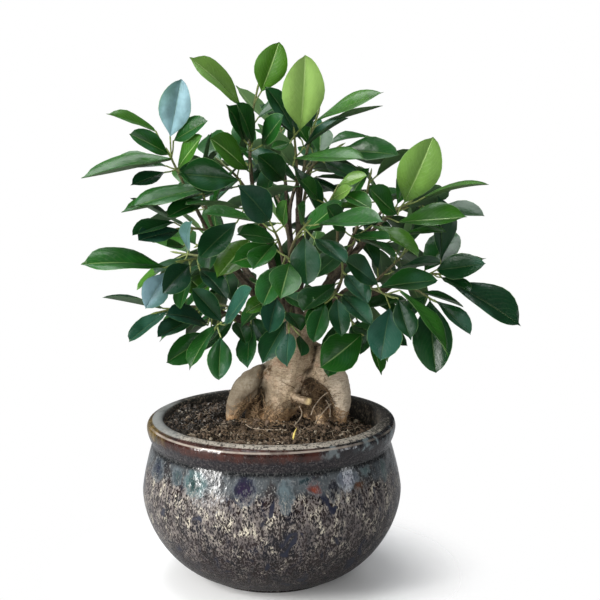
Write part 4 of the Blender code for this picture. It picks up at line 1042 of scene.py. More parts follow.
def reactive_glaze():
    """A dark runny glaze: cream and tan flecks over brown and blue-black, pools of glass at the shoulder."""
    material, mix, place = new_finish("dark_reactive_glaze")
    across, back, height = mix.axes(place)
    away = mix.away(place)
    runny = mix.stretch(place, (1, 1, 0.55))
    wander = mix.noise(place, 30)
    body, flecks = flecked_belly(mix, place, runny, height)
    body = pools_of(mix, place, body, flecks)

    # The neck and the hollow under the rim: dark, dusted grey
    dusted = mix.blend(mix.specks(place, 620, 0.34, 0.06), (0.008, 0.009, 0.01), (0.046, 0.046, 0.045))
    body = mix.coat(body, dusted, height, 0.1045, 0.1085)

    # The rim and its worn top edge, with a thin pale line along the outer corner: glaze breaking pale there,
    # and a painted highlight
    drift = mix.times_plus(mix.maths("SUBTRACT", wander, 0.5), 0.1, across)
    rim = rim_glaze(mix, place, runny, drift, height)
    on_rim = mix.step(height, NECK_HEIGHT - 0.001, NECK_HEIGHT + 0.0016)
    on_top = mix.times(mix.step(height, RIM_HEIGHT - 0.0032, RIM_HEIGHT - 0.0022),
                       mix.step(away, RIM_RADIUS - 0.0046, RIM_RADIUS - 0.003, 1, 0))
    top = dusty_top(mix, place, back, drift)
    # A painted highlight along the rim's outer top corner, where the glaze also breaks pale.
    edge = mix.times(mix.step(height, RIM_HEIGHT - 0.0046, RIM_HEIGHT - 0.004),
                     mix.step(height, RIM_HEIGHT - 0.0033, RIM_HEIGHT - 0.0027, 1, 0))
    edge = mix.times(edge, mix.step(wander, 0.4, 0.58, 0.1, 0.8))
    rim = mix.blend(edge, rim, (0.36, 0.31, 0.265))
    rim = mix.blend(on_top, rim, top)
    colour = mix.blend(on_rim, body, rim)

    # Inside: bare dark glaze with a pale crust of lime above the soil
    inside = mix.times(mix.step(away, MOUTH_RADIUS + 0.0008, MOUTH_RADIUS + 0.0022, 1, 0),
                       mix.step(height, 0.104, 0.108))
    crust = mix.specks(place, 520, mix.times_plus(wander, 0.6, 0.05), 0.06)
    wall = mix.blend(crust, (0.018, 0.018, 0.017), (0.16, 0.135, 0.105))
    colour = mix.blend(inside, colour, wall)

    rough = mix.times_plus(flecks, 0.18, 0.15)
    rough = mix.times_plus(on_top, 0.22, rough)
    rough = mix.times_plus(inside, 0.3, rough)
    normal = mix.bump(mix.noise(place, 42, 2, 0.5), 0.0016)
    normal = mix.bump(mix.noise(runny, 210, 2, 0.5), 0.00045, normal)
    normal = mix.bump(flecks, 0.00016, normal)
    return shade(material, colour, rough, Normal=normal, Specular_IOR_Level=0.52, IOR=1.52)


# The soil

SOIL_RINGS = 58
SOIL_SEGMENTS = 168
SOIL_SIDE_HEIGHTS = (0.1, 0.06)
TOP_RINGS = 30
TOP_SEGMENTS = 60
HOLLOW_PLACE = (0.07, 0.036)
HOLLOW_SPREAD = 0.017
HOLLOW_DEPTH = 0.006
FOOT_PLACE = (0.006, 0.0)
FOOT_SPREAD = 0.024
FOOT_DEPTH = 0.0032
LUMP_HEIGHT = 0.0014
LUMP_FINENESS = 95
CRUMB_HEIGHT = 0.0006
CRUMB_FINENESS = 330
CLOD_SIDE = Vector((-0.8, 0.6, 0.0))
PROBE_LIFT = Vector((0, 0, 0.003))


def soil_surface(x, y):
    """The soil's top with its crumbs and its sunken place by the wall."""
    spot = Vector((x, y, 0.0))
    lumps = noise.fractal(spot * LUMP_FINENESS, 0.9, 2.1, 3)
    crumbs = noise.fractal(spot * CRUMB_FINENESS + Vector((7, 3, 1)), 0.8, 2.2, 2)
    away = (x - HOLLOW_PLACE[0]) ** 2 + (y - HOLLOW_PLACE[1]) ** 2
    hollow = HOLLOW_DEPTH * math.exp(-away / (2 * HOLLOW_SPREAD**2))
    away = (x - FOOT_PLACE[0]) ** 2 + (y - FOOT_PLACE[1]) ** 2
    hollow += FOOT_DEPTH * math.exp(-away / (2 * FOOT_SPREAD**2))
    return soil_height(x, y) + LUMP_HEIGHT * lumps + CRUMB_HEIGHT * crumbs - hollow


def surface_ring(away, count):
    return [(away * cos, away * sin, soil_surface(away * cos, away * sin)) for cos, sin in circle(count)]


def make_soil(finish):
    """The soil's crumbly top and its side down along the wall."""
    radius, rings, count = MOUTH_RADIUS - GAP, SOIL_RINGS, SOIL_SEGMENTS
    vertices = [(0.0, 0.0, soil_surface(0.0, 0.0))]
    for ring in range(1, rings + 1):
        vertices += surface_ring(radius * (ring / rings) ** 0.8, count)
    for height in SOIL_SIDE_HEIGHTS:
        vertices += [(radius * cos, radius * sin, height) for cos, sin in circle(count)]
    faces = [(0, a, b) for a, b in neighbours(1, count)]
    for ring in range(rings + 1):
        faces += [(a, a + count, b + count, b) for a, b in neighbours(1 + ring * count, count)]
    first = 1 + (rings + 1) * count
    faces.append(tuple(first + k for k in reversed(range(count))))
    soil = mesh_object("soil_bed", vertices, faces)
    close_up(soil, finish)
    keep_piece(soil, "peat", "soil")
    return soil


def peat_finish(name, dark, pale, share):
    """Moist peat: nearly black, with paler fibre and dust."""
    material, mix, place = new_finish(name)
    grain = mix.noise(place, 620, 4, 0.65)
    broad = mix.noise(place, 55)
    dust = mix.specks(place, 900, share, 0.06)
    base = mix.coat(dark, tuple(1.9 * part for part in dark), broad, 0.35, 0.65)
    base = mix.blend(mix.times(dust, mix.step(grain, 0.35, 0.7)), base, pale)
    side = mix.vector("DOT_PRODUCT", place, CLOD_SIDE)
    grey = tuple(1.05 * sum(pale) / 3 for _ in pale)
    sooty = mix.blend(dust, tuple(0.8 * part for part in dark), grey)
    base = mix.coat(base, sooty, side, 0.012, 0.045, 0, 0.75)
    return shade(material, base, 0.92, Normal=mix.bump(grain, 0.0009), Specular_IOR_Level=0.25)


def crumb_shapes(name, count, level, roughness, flat, draw):
    """Small irregular stones to scatter, in a collection of their own."""
    shapes = bpy.data.collections.new(name)
    for number in range(count):
        shape = bmesh.new()
        bmesh.ops.create_icosphere(shape, subdivisions=level, radius=0.5)
        shift = Vector([draw.uniform(-9, 9) for _ in range(3)])
        wide = (draw.uniform(0.8, 1.2), draw.uniform(0.7, 1.1), flat * draw.uniform(0.7, 1.2))
        for vertex in shape.verts:
            swell = 1 + roughness * noise.noise(vertex.co * 2.6 + shift)
            vertex.co = Vector(part * size * swell for part, size in zip(vertex.co, wide))
        mesh = bpy.data.meshes.new(f"{name}_{number}")
        shape.to_mesh(mesh)
        shape.free()
        shapes.objects.link(bpy.data.objects.new(mesh.name, mesh))
    return shapes


def scatter_tree():
    """Crumbs strewn at random over a surface, many more small ones than large."""
    nodes, given = new_growth(
        "strewn_crumbs", ("Shapes", "Collection", None), ("Density", "Float", 100000.0),
        ("Smallest", "Float", 0.001), ("Largest", "Float", 0.003), ("Lift", "Float", 0.0),
        ("Seed", "Int", 1), ("Finish", "Material", None))
    spread = nodes.put("GeometryNodeDistributePointsOnFaces",
                       {"Mesh": given["Geometry"], "Density": given["Density"], "Seed": given["Seed"]})
    lift = nodes.put("ShaderNodeCombineXYZ", {2: given["Lift"]}).outputs[0]
    points = nodes.put("GeometryNodeSetPosition", {"Geometry": spread.outputs["Points"], "Offset": lift})
    turn = nodes.put("FunctionNodeRandomValue", {1: (6.28, 6.28, 6.28), "Seed": given["Seed"]},
                     data_type="FLOAT_VECTOR").outputs[0]
    even = nodes.put("FunctionNodeRandomValue", {2: 0.0, 3: 1.0, "Seed": 7}, data_type="FLOAT").outputs[1]
    span = nodes.maths("SUBTRACT", given["Largest"], given["Smallest"])
    size = nodes.times_plus(nodes.maths("POWER", even, 2.2), span, given["Smallest"])
    strewn = shapes_on(nodes, points.outputs[0], given["Shapes"], {"Rotation": turn, "Scale": size})
    return end_growth(nodes, strewn, {"Material": given["Finish"]})


def strew(name, ground, tree, slot, values):
    """Crumbs over a copy of the ground mesh, as a piece of their own."""
    keep_piece(baked(grow_by(placed(name, ground), tree, values), name), slot)


def soil_ground(name, inner, outer, clear_of, least=-1.0):
    """The soil's top between two distances from the axis, clear of the trunk, as a mesh to strew on."""
    vertices, faces = [], []
    for ring in range(TOP_RINGS + 1):
        vertices += surface_ring(inner + (outer - inner) * ring / TOP_RINGS, TOP_SEGMENTS)
    for ring in range(TOP_RINGS):
        for a, b in neighbours(ring * TOP_SEGMENTS, TOP_SEGMENTS):
            corners = (a, a + TOP_SEGMENTS, b + TOP_SEGMENTS, b)
            middle = sum((Vector(vertices[i]) for i in corners), Vector()) / 4
            over = middle + PROBE_LIFT
            spot, normal = clear_of.find_nearest(over)[:2]
            if (over - spot).dot(normal) >= 0 and middle.dot(CLOD_SIDE) > least:
                faces.append(corners)
    mesh = bpy.data.meshes.new(name)
    mesh.from_pydata(vertices, [], faces)
    return mesh


# The trunk

FINE_VOXEL = 0.00115
FINE_SMOOTHING = 6
BARK_LUMPS = 0.001
BARK_LUMP_FINENESS = 75
BARK_WRINKLES = 0.00032
WRINKLE_FINENESS = (120, 120, 520)
LIMB_STEPS = 4
BOUGH_STEPS = 9
LIMB_FLARE = 0.55
BRANCH_FLARE = 0.5

# Creases in the front of the trunk: the (x, z) they run through, how deep and how wide
CREASES = metres((
    (((-4, 176), (-7.2, 163), (-8.6, 150), (-9.2, 137.5), (-7.8, 127)), 4.2, 2.1),
    (((36.8, 186), (33.6, 173.5), (29.2, 162), (25.8, 152), (22.2, 142), (18, 130)), 4, 2.1),
    (((3, 153), (5.6, 148.5), (7.8, 143), (10, 137)), 1.1, 1.9),
    (((-10.8, 147), (-16, 143), (-21.8, 136.5), (-26.2, 127)), 1.8, 1.6),
    (((31.6, 163), (37.6, 154), (44, 144.5), (47.8, 136), (47, 126)), 1.6, 1.6),
))
CREASE_BACK = 0.026
# How much painted shade darkens the bark along the creases
CREASE_SHADE = 0.52
STUB_CLEAR = 0.0048
STUB_PATH = smooth_path([point[:3] for point in TRUNK_LIMBS["cut_root"][1:]], 3)
# Knots and swellings: the centre, how far it reaches and how high it stands
SWELLINGS = metres((
    ((-6.8, 13, 165), 3.2, 3),
    ((16, 4, 156), 8, 1.6),
    ((6, 8, 128), 4.5, 1),
    ((44, 8, 160), 7, 1.2),
))
# Where the bark is stained brown or covered with fibres: the centre and how far it reaches
STAINS = metres((
    ((-14, 15, 133), 8),
    ((-17.5, 12, 126), 8),
    ((-10.5, 11, 140), 4),
    ((34, 18, 150), 8.5),
    ((38, 17, 138), 9),
    ((36, 16, 127), 9),
    ((26, 16, 131), 8),
    ((37.5, 8, 131), 6.5),
    ((-6.8, 10, 165), 3.2),
    ((4, 44, 130), 11),
))


def limb_tube(name, points, radii, resolution):
    """A closed round bar along the points."""
    curve = bpy.data.curves.new(name, "CURVE")
    curve.dimensions = "3D"
    curve.bevel_depth = 1.0
    curve.bevel_resolution = resolution
    curve.use_fill_caps = True
    spline = curve.splines.new("POLY")
    spline.points.add(len(points) - 1)
    for spot, place, radius in zip(spline.points, points, radii):
        spot.co = (*place, 1.0)
        spot.radius = radius
    made = baked(placed(name, curve), name)
    turn_outwards(made, merge=0.000001)
    return made


def unite(target, others, solver="EXACT"):
    """Joins the others to the target by one Boolean on a collection of them."""
    group = bpy.data.collections.new("joining")
    bpy.context.scene.collection.children.link(group)
    for other in others:
        group.objects.link(other)
    union = target.modifiers.new("union", "BOOLEAN")
    union.operation = "UNION"
    union.operand_type = "COLLECTION"
    union.collection = group
    union.solver = solver
    joined = baked(target)
    for other in others:
        bpy.data.objects.remove(other, do_unlink=True)
    bpy.data.collections.remove(group)
    return joined


def fine_radii(first, last, count, flare):
    """Radii along a bough, a little knobbed and swollen where it grows out of the trunk."""
    shares = [i / (count - 1) for i in range(count)]
    return [(first + (last - first) * share) * (1 + 0.06 * math.sin(9.0 * share * count / 3))
            * (1 + flare * math.exp(-share * 9)) for share in shares]


def make_trunk(paths, finish):
    """The trunk, its bare roots and its boughs, grown together."""
    limbs = []
    for name, points in TRUNK_LIMBS.items():
        path = smooth_path([point[:3] for point in points], LIMB_STEPS)
        radii = [point.x for point in smooth_path([(point[3], 0, 0) for point in points], LIMB_STEPS)]
        limbs.append(limb_tube(name, path, radii, 4))
    trunk = unite(limbs[0], limbs[1:])
    skin = trunk.modifiers.new("skin", "REMESH")
    skin.mode = "VOXEL"
    skin.voxel_size = FINE_VOXEL
    flow = trunk.modifiers.new("flow", "SMOOTH")
    flow.factor = 0.5
    flow.iterations = FINE_SMOOTHING
    trunk = baked(trunk, "trunk_and_roots")
    normals = [vertex.normal.copy() for vertex in trunk.data.vertices]
    for vertex, normal in zip(trunk.data.vertices, normals):
        spot = vertex.co + normal * shaping(vertex.co, normal)
        lumps = noise.fractal(spot * BARK_LUMP_FINENESS, 0.9, 2.0, 3)
        level = Vector(part * fine for part, fine in zip(spot, WRINKLE_FINENESS))
        wrinkles = noise.fractal(level, 0.8, 2.1, 2)
        vertex.co = spot + normal * (BARK_LUMPS * lumps + BARK_WRINKLES * wrinkles)
    wood = []
    for name, bough in BOUGHS.items():
        path = smooth_path(bough.points, BOUGH_STEPS)
        radii = fine_radii(bough.first_radius, bough.last_radius, len(path), LIMB_FLARE)
        wood.append(limb_tube(name, path, radii, 3))
    for name, path in paths.items():
        branch = smooth_path(path, FINE_STEPS)[: BRANCH_CUT + 2]
        radii = fine_radii(BRANCH_RADIUS * 1.05, BRANCH_RADIUS * 0.9, len(branch), BRANCH_FLARE)
        wood.append(limb_tube("branch_" + name, branch, radii, 2))
    trunk = unite(trunk, wood, "MANIFOLD")
    mark(trunk.data, "hollow", hollows_of(trunk.data))
    mark(trunk.data, "stain", [stain_and_shade_at(vertex.co, vertex.normal) for vertex in trunk.data.vertices])
    trunk.data.shade_smooth()
    trunk.data.materials.clear()
    trunk.data.materials.append(finish)
    keep_piece(trunk, "bark", "trunk")
    return trunk


def on_line(spot, line, width):
    """How near a point of the front view lies to a line: one on it, falling to nothing beyond its width."""
    nearest = 1.0
    for (ax, az), (bx, bz) in zip(line, line[1:]):
        run = (bx - ax) ** 2 + (bz - az) ** 2
        share = min(max(((spot[0] - ax) * (bx - ax) + (spot[1] - az) * (bz - az)) / run, 0.0), 1.0)
        away = math.hypot(spot[0] - ax - (bx - ax) * share, spot[1] - az - (bz - az) * share)
        nearest = min(nearest, away)
    return math.exp(-((nearest / width) ** 2))


def in_crease_view(spot, normal):
    """Whether a point is on the front of the trunk and not on the cut root."""
    if spot.y > CREASE_BACK or normal.y > 0.35:
        return False
    return min((spot - place).length for place in STUB_PATH) > STUB_CLEAR


def shaping(spot, normal):
    """How far the skin stands out at a point: in at the creases, out at the knots."""
    out = 0.0
    if in_crease_view(spot, normal):
        wander = 0.0007 * noise.noise(spot * 260)
        for line, depth, width in CREASES:
            out -= depth * on_line((spot.x + wander, spot.z), line, width)
    for centre, reach, height in SWELLINGS:
        out += height * math.exp(-(((spot - Vector(centre)).length / reach) ** 2))
    return out


def stain_and_shade_at(spot, normal):
    """High where the bark is brown at the fibre mats, and along the creases as painted shade, more where they
    are deeper.
    """
    stain = max(math.exp(-(((spot - Vector(centre)).length / reach) ** 4)) for centre, reach in STAINS)
    if in_crease_view(spot, normal):
        for line, depth, width in CREASES:
            # Painted shade along the creases, darker where they are deeper.
            near = on_line((spot.x, spot.z), line, 0.75 * width)
            stain = max(stain, CREASE_SHADE * near * min(depth / 0.004, 1.0))
    return stain


def hollows_of(mesh):
    """A value for each point that is high in creases and low on swellings."""
    around = [[] for _ in mesh.vertices]
    for edge in mesh.edges:
        a, b = edge.vertices
        around[a].append(b)
        around[b].append(a)
    spots = [vertex.co.copy() for vertex in mesh.vertices]
    values = []
    for spot, near, vertex in zip(spots, around, mesh.vertices):
        middle = sum((spots[j] for j in near), Vector()) / max(len(near), 1)
        reach = sum((spots[j] - spot).length for j in near) / max(len(near), 1)
        values.append((middle - spot).dot(vertex.normal) / max(reach, 1e-6))
    for _ in range(5):
        values = [0.4 * value + 0.6 * sum(values[j] for j in near) / max(len(near), 1)
                  for value, near in zip(values, around)]
    return values


def pale_bark():
    """Smooth beige bark with level wrinkles and specks, browner at the soil and on boughs, dark fibrous brown
    in creases and hollows as brown fibre and painted shade, grey-green and darker on the left root as bark
    colour and painted shade, paler on the right root as a painted highlight.
    """
    material, mix, place = new_finish("pale_bark")
    across, _, height = mix.axes(place)
    broad = mix.noise(place, 50, 4, 0.6)
    level = mix.noise(mix.stretch(place, (1, 1, 3)), 330, 4, 0.7)
    upright = mix.noise(mix.stretch(place, (3, 3, 0.8)), 300, roughness=0.65)
    base = mix.ramp(broad, ((0.32, (0.3, 0.228, 0.14)), (0.45, (0.46, 0.355, 0.235)),
                            (0.56, (0.6, 0.465, 0.325)), (0.68, (0.46, 0.285, 0.185))))
    patches = mix.noise(place, 95, 4, 0.65, 0.5)
    base = mix.coat(base, (0.7, 0.585, 0.445), patches, 0.55, 0.66, 0, 0.5)
    dashes = mix.step(level, 0.46, 0.62)
    base = mix.blend(mix.times(dashes, 0.62), base, (0.17, 0.112, 0.07))
    base = mix.coat(base, (0.6, 0.5, 0.375), upright, 0.55, 0.7, 0, 0.55)
    streaks = mix.noise(mix.stretch(place, (1, 1, 0.32)), 120, 4, 0.65, 0.5)
    base = mix.coat(base, (0.235, 0.14, 0.082), streaks, 0.54, 0.72, 0, 0.65)
    fine = mix.specks(place, 1100, 0.26, 0.06)
    base = mix.blend(mix.times(fine, 0.42), base, (0.16, 0.105, 0.065))
    # Painted shade in the hollows: where the skin curves in, the bark turns dark fibrous brown.
    hollow = mix.step(mix.attribute("hollow"), 0.05, 0.18, 0, 0.75)
    # The left root: grey-green and darker, partly bark colour and partly painted shade.
    left_moss_shade_mask = mix.step(mix.times_plus(broad, 0.02, across), 0, 0.016, 0.8, 0)
    moss_and_shade = mix.ramp(mix.times_plus(level, 0.5, mix.times(patches, 0.5)),
                    ((0.4, (0.046, 0.034, 0.02)), (0.5, (0.104, 0.087, 0.058)),
                     (0.61, (0.215, 0.192, 0.145))))
    base = mix.blend(left_moss_shade_mask, base, moss_and_shade)
    # The right root: paler and greyer, partly bark colour and partly a painted highlight.
    paler_bark_and_highlight = mix.times(mix.step(across, 0.034, 0.05, 0, 0.55), mix.step(level, 0.5, 0.6, 1, 0.4))
    base = mix.blend(paler_bark_and_highlight, base, (0.6, 0.53, 0.43))
    # Brown stain at the fibre mats, and painted shade along the creases.
    ragged = mix.times_plus(mix.noise(place, 150, 4, 0.75), 0.9, mix.attribute("stain"))
    stain = mix.step(ragged, 0.7, 1, 0, 0.94)
    fibre_and_shade = mix.ramp(mix.noise(place, 520, 3, 0.7),
                       ((0.38, (0.01, 0.007, 0.004)), (0.53, (0.042, 0.026, 0.014)),
                        (0.68, (0.23, 0.16, 0.09))))
    base = mix.blend(mix.maths("MAXIMUM", hollow, stain), base, fibre_and_shade)
    foot = mix.times_plus(mix.noise(place, 140, 4, 0.7), 0.032, height)
    by_soil = mix.step(foot, 0.137, 0.149, 0.8, 0)
    rusty = mix.ramp(mix.noise(place, 420, 3, 0.7),
                     ((0.36, (0.12, 0.056, 0.022)), (0.5, (0.44, 0.24, 0.105)), (0.66, (0.7, 0.48, 0.25))))
    by_soil = mix.times(by_soil, mix.times_plus(stain, -0.75, 1))
    base = mix.blend(by_soil, base, rusty)
    from_cut = mix.vector("DISTANCE", place, STUB_PATH[-1])
    base = mix.coat(base, (0.68, 0.52, 0.26), from_cut, 0.0026, 0.006, 0.8, 0)
    on_boughs = mix.step(height, 0.198, 0.214)
    rings = mix.noise(place, 420, 3, 0.7)
    bough = mix.ramp(rings, ((0.35, (0.032, 0.025, 0.016)), (0.6, (0.09, 0.07, 0.044))))
    base = mix.blend(on_boughs, base, bough)
    normal = mix.bump(level, 0.001)
    normal = mix.bump(upright, 0.0006, normal)
    normal = mix.bump(mix.times(stain, mix.noise(place, 600, 2, 0.6)), 0.0016, normal)
    return shade(material, base, 0.6, Normal=normal, Specular_IOR_Level=0.32)


# Stems, fibres and leaves

FINE_STEPS = 6
BRANCH_CUT = round(FINE_STEPS * 1.5)


class Strands:
    """Points joined to stems, and points that carry a blade, with what their growth reads at each."""

    READ = ("stem_radius", "tint", "run", "face", "blade_scale", "blade_kind", "tone", "is_leaf")
    NO_BLADE = ((1.0, 0.0, 0.0), (0.0, 0.0, 1.0), (1.0, 1.0, 1.0), 0, 0.0, 0)

    def __init__(self):
        self.points, self.edges, self.rows = [], [], []

    def add_point(self, place, radius, tint, blade=NO_BLADE):
        self.points.append(tuple(place))
        self.rows.append((float(radius), float(tint), *blade))

    def add_stem(self, points, radii, tints):
        first = len(self.points)
        for row in zip(points, radii, tints):
            self.add_point(*row)
        self.edges += [(i, i + 1) for i in range(first, len(self.points) - 1)]

    def add_blade(self, leaf, kind, tone):
        run = (leaf.tip - leaf.base).normalized()
        length = (leaf.tip - leaf.base).length
        turned = (tuple(run), tuple(square_to(leaf.face, run)), (length, leaf.width, length))
        self.add_point(leaf.base, 0.0, 1.0, (*turned, kind, float(tone), 1))

    def grown(self, name, tree, values):
        """The piece that the geometry tree makes of the strands."""
        read = dict(zip(self.READ, zip(*self.rows)))
        return baked(grow_by(mesh_object(name, self.points, (), self.edges, read), tree, values))


def stems_of(nodes, geometry, sides):
    """Round stems along the edges, as thick as their radius attribute says."""
    curve = nodes.put("GeometryNodeMeshToCurve", {"Mesh": geometry}).outputs[0]
    sized = nodes.put("GeometryNodeSetCurveRadius", {"Curve": curve, "Radius": nodes.named("stem_radius")})
    ring = nodes.put("GeometryNodeCurvePrimitiveCircle", {"Resolution": sides, "Radius": 1.0}).outputs[0]
    values = {"Curve": sized.outputs[0], "Profile Curve": ring, "Fill Caps": True,
              "Scale": nodes.named("stem_radius")}
    made = nodes.put("GeometryNodeCurveToMesh", values).outputs[0]
    return nodes.put("GeometryNodeSetShadeSmooth", {"Geometry": made, "Shade Smooth": True}).outputs[0]


def spray_tree():
    """A spray: stems along its edges, and blades turned and sized by the attributes of the leaf points."""
    nodes, given = new_growth("leafy_spray", ("Blades", "Collection", None), ("Sides", "Int", 7),
                              ("Leaf Finish", "Material", None), ("Stem Finish", "Material", None))
    parted = nodes.put("GeometryNodeSeparateGeometry",
                       {"Geometry": given["Geometry"], "Selection": nodes.named("is_leaf", "INT")})
    stems = stems_of(nodes, parted.outputs["Inverted"], given["Sides"])
    axes = {"Primary Axis": nodes.named("face", "FLOAT_VECTOR"),
            "Secondary Axis": nodes.named("run", "FLOAT_VECTOR")}
    turn = nodes.put("FunctionNodeAxesToRotation", axes, primary_axis="Z", secondary_axis="X")
    leaves = shapes_on(nodes, parted.outputs["Selection"], given["Blades"],
                       {"Instance Index": nodes.named("blade_kind", "INT"), "Rotation": turn.outputs[0],
                        "Scale": nodes.named("blade_scale", "FLOAT_VECTOR")})
    both = nodes.put("GeometryNodeJoinGeometry", {0: leaves})
    nodes.join(both, {0: stems})
    return end_growth(nodes, both.outputs[0], {"Material": given["Stem Finish"]},
                      {"Selection": nodes.named("is_leaf", "INT"), "Material": given["Leaf Finish"]})


def fibre_tree():
    """Round fibres along edges."""
    nodes, given = new_growth("root_fibres", ("Sides", "Int", 4), ("Finish", "Material", None))
    stems = stems_of(nodes, given["Geometry"], given["Sides"])
    return end_growth(nodes, stems, {"Material": given["Finish"]})


BLADE_KINDS = 12
BLADE_STATIONS = (0.05, 0.14, 0.27, 0.42, 0.57, 0.71, 0.83, 0.92, 0.978)
BLADE_ACROSS = (-1.0, -0.5, 0.0, 0.5, 1.0)
LARGE_KINDS = 6
LARGE_LENGTH = 0.052
ROUND_TIPPED = {"widest": 0.56, "base_end": 0.92, "tip_end": 0.56, "point": 0.012, "fold": 0.2}
LARGE_STATIONS = (0.02, 0.05, 0.1, 0.17, 0.26, 0.36, 0.47, 0.58, 0.68, 0.77, 0.85, 0.91, 0.955, 0.985)
LARGE_ACROSS = (-1.0, -0.72, -0.36, 0.0, 0.36, 0.72, 1.0)
RIB_THICKNESS = 0.02
BLADE_RANGES = {
    "widest": (0.52, 0.62), "base_end": (0.8, 0.98), "tip_end": (0.42, 0.66), "arch": (-0.015, 0.055),
    "fold": (0.16, 0.42), "puff": (0.015, 0.045), "droop": (-0.02, 0.05), "wave": (0.003, 0.018),
    "phase": (0, 1), "twist": (-0.25, 0.25), "sway": (-0.03, 0.03), "point": (0.02, 0.085),
}
TWIG_START_RADIUS = BRANCH_RADIUS * 0.92
BUD_REACH = (0.0015, 0.004, 0.0065)
BUD_RADII = [0.00095, 0.0007, 0.0001]
STALK_RADII = (0.00085, 0.00062, 0.00066, 0.00045)


def blade_form(draw):
    """The outline and the bends of one kind of blade."""
    return {name: draw.uniform(*bounds) for name, bounds in BLADE_RANGES.items()}


def blade_half(form, share):
    """Half the blade's width at a share of its length: an oval with a short drawn-out tip."""
    oval = min(share / (1 - form["point"]), 1.0)
    turn = math.pi * oval ** (math.log(0.5) / math.log(form["widest"]))
    ends = form["base_end"] + (form["tip_end"] - form["base_end"]) * share
    spike = 0.85 * (1 - share) if share > 0.5 else 0.0
    return max(0.5 * max(math.sin(turn), 0.0) ** ends, spike)


def blade_spot(form, share, across):
    """A point of a blade one long and one wide: along X, the side along Y, the upper face to Z."""
    half = blade_half(form, share)
    y = half * across
    z = form["arch"] * 4 * share * (1 - share) - form["droop"] * share**3
    z += form["fold"] * half * abs(across) * 0.55
    z += form["puff"] * 4 * abs(across) * (1 - abs(across)) * math.sin(math.pi * share)
    z += form["wave"] * across**2 * math.sin(2 * math.pi * (1.6 * share + form["phase"] + 0.3 * across))
    z += form["twist"] * share * y * 0.5
    return share, y + form["sway"] * 4 * share * (1 - share), z


def blade_mesh(name, form, stations, columns):
    """A closed thin blade, thickest at its midrib, with a sharp rim."""
    vertices = [(0.0, 0.0, 0.0)]
    across = [0.0]
    for share in stations:
        for place in columns:
            vertices.append(blade_spot(form, share, place))
            across.append(place)
        x, y, z = blade_spot(form, share, 0.0)
        vertices.append((x, y, z - RIB_THICKNESS * (1.15 - share)))
        across.append(0.0)
    vertices.append((1.0, 0.0, -form["droop"]))
    across.append(0.0)
    width = len(columns) + 1
    right = len(columns) - 1
    keel = len(columns)
    last = len(vertices) - 1
    faces, under = [], []
    for row in range(len(stations) + 1):
        near = 1 + (row - 1) * width
        far = near + width
        pairs = [(k, k + 1, 0.0) for k in range(right)] + [(keel, 0, 1.0), (right, keel, 1.0)]
        for a, b, below in pairs:
            if row == 0:
                faces.append((0, far + a, far + b))
            elif row == len(stations):
                faces.append((near + a, last, near + b))
            else:
                faces.append((near + a, far + a, far + b, near + b))
            under.append(below)
    mesh = bpy.data.meshes.new(name)
    mesh.from_pydata(vertices, [], faces)
    mark(mesh, "across", across)
    mark(mesh, "along", [vertex[0] for vertex in vertices])
    mark(mesh, "under", under, "FACE")
    mesh.shade_smooth()
    ends = {0, last}
    rims = ends | {1 + i * width + k for i in range(len(stations)) for k in (0, right)}
    ribs = ends | {1 + i * width + right // 2 for i in range(len(stations))}
    sharp = mesh.attributes.new("sharp_edge", "BOOLEAN", "EDGE")
    for edge in mesh.edges:
        corners = set(edge.vertices)
        sharp.data[edge.index].value = corners <= rims or corners <= ribs
    return mesh


def blade_shapes(draw):
    """The kinds of blade: plain ones, then finer ones for the largest leaves, and one with a round tip."""
    shapes = bpy.data.collections.new("blades")
    for number in range(BLADE_KINDS + LARGE_KINDS + 1):
        large = number >= BLADE_KINDS
        form = blade_form(draw)
        if number == BLADE_KINDS + LARGE_KINDS:
            form.update(ROUND_TIPPED)
        stations = LARGE_STATIONS if large else BLADE_STATIONS
        columns = LARGE_ACROSS if large else BLADE_ACROSS
        name = f"blade_{number:02d}"
        shapes.objects.link(bpy.data.objects.new(name, blade_mesh(name, form, stations, columns)))
    return shapes


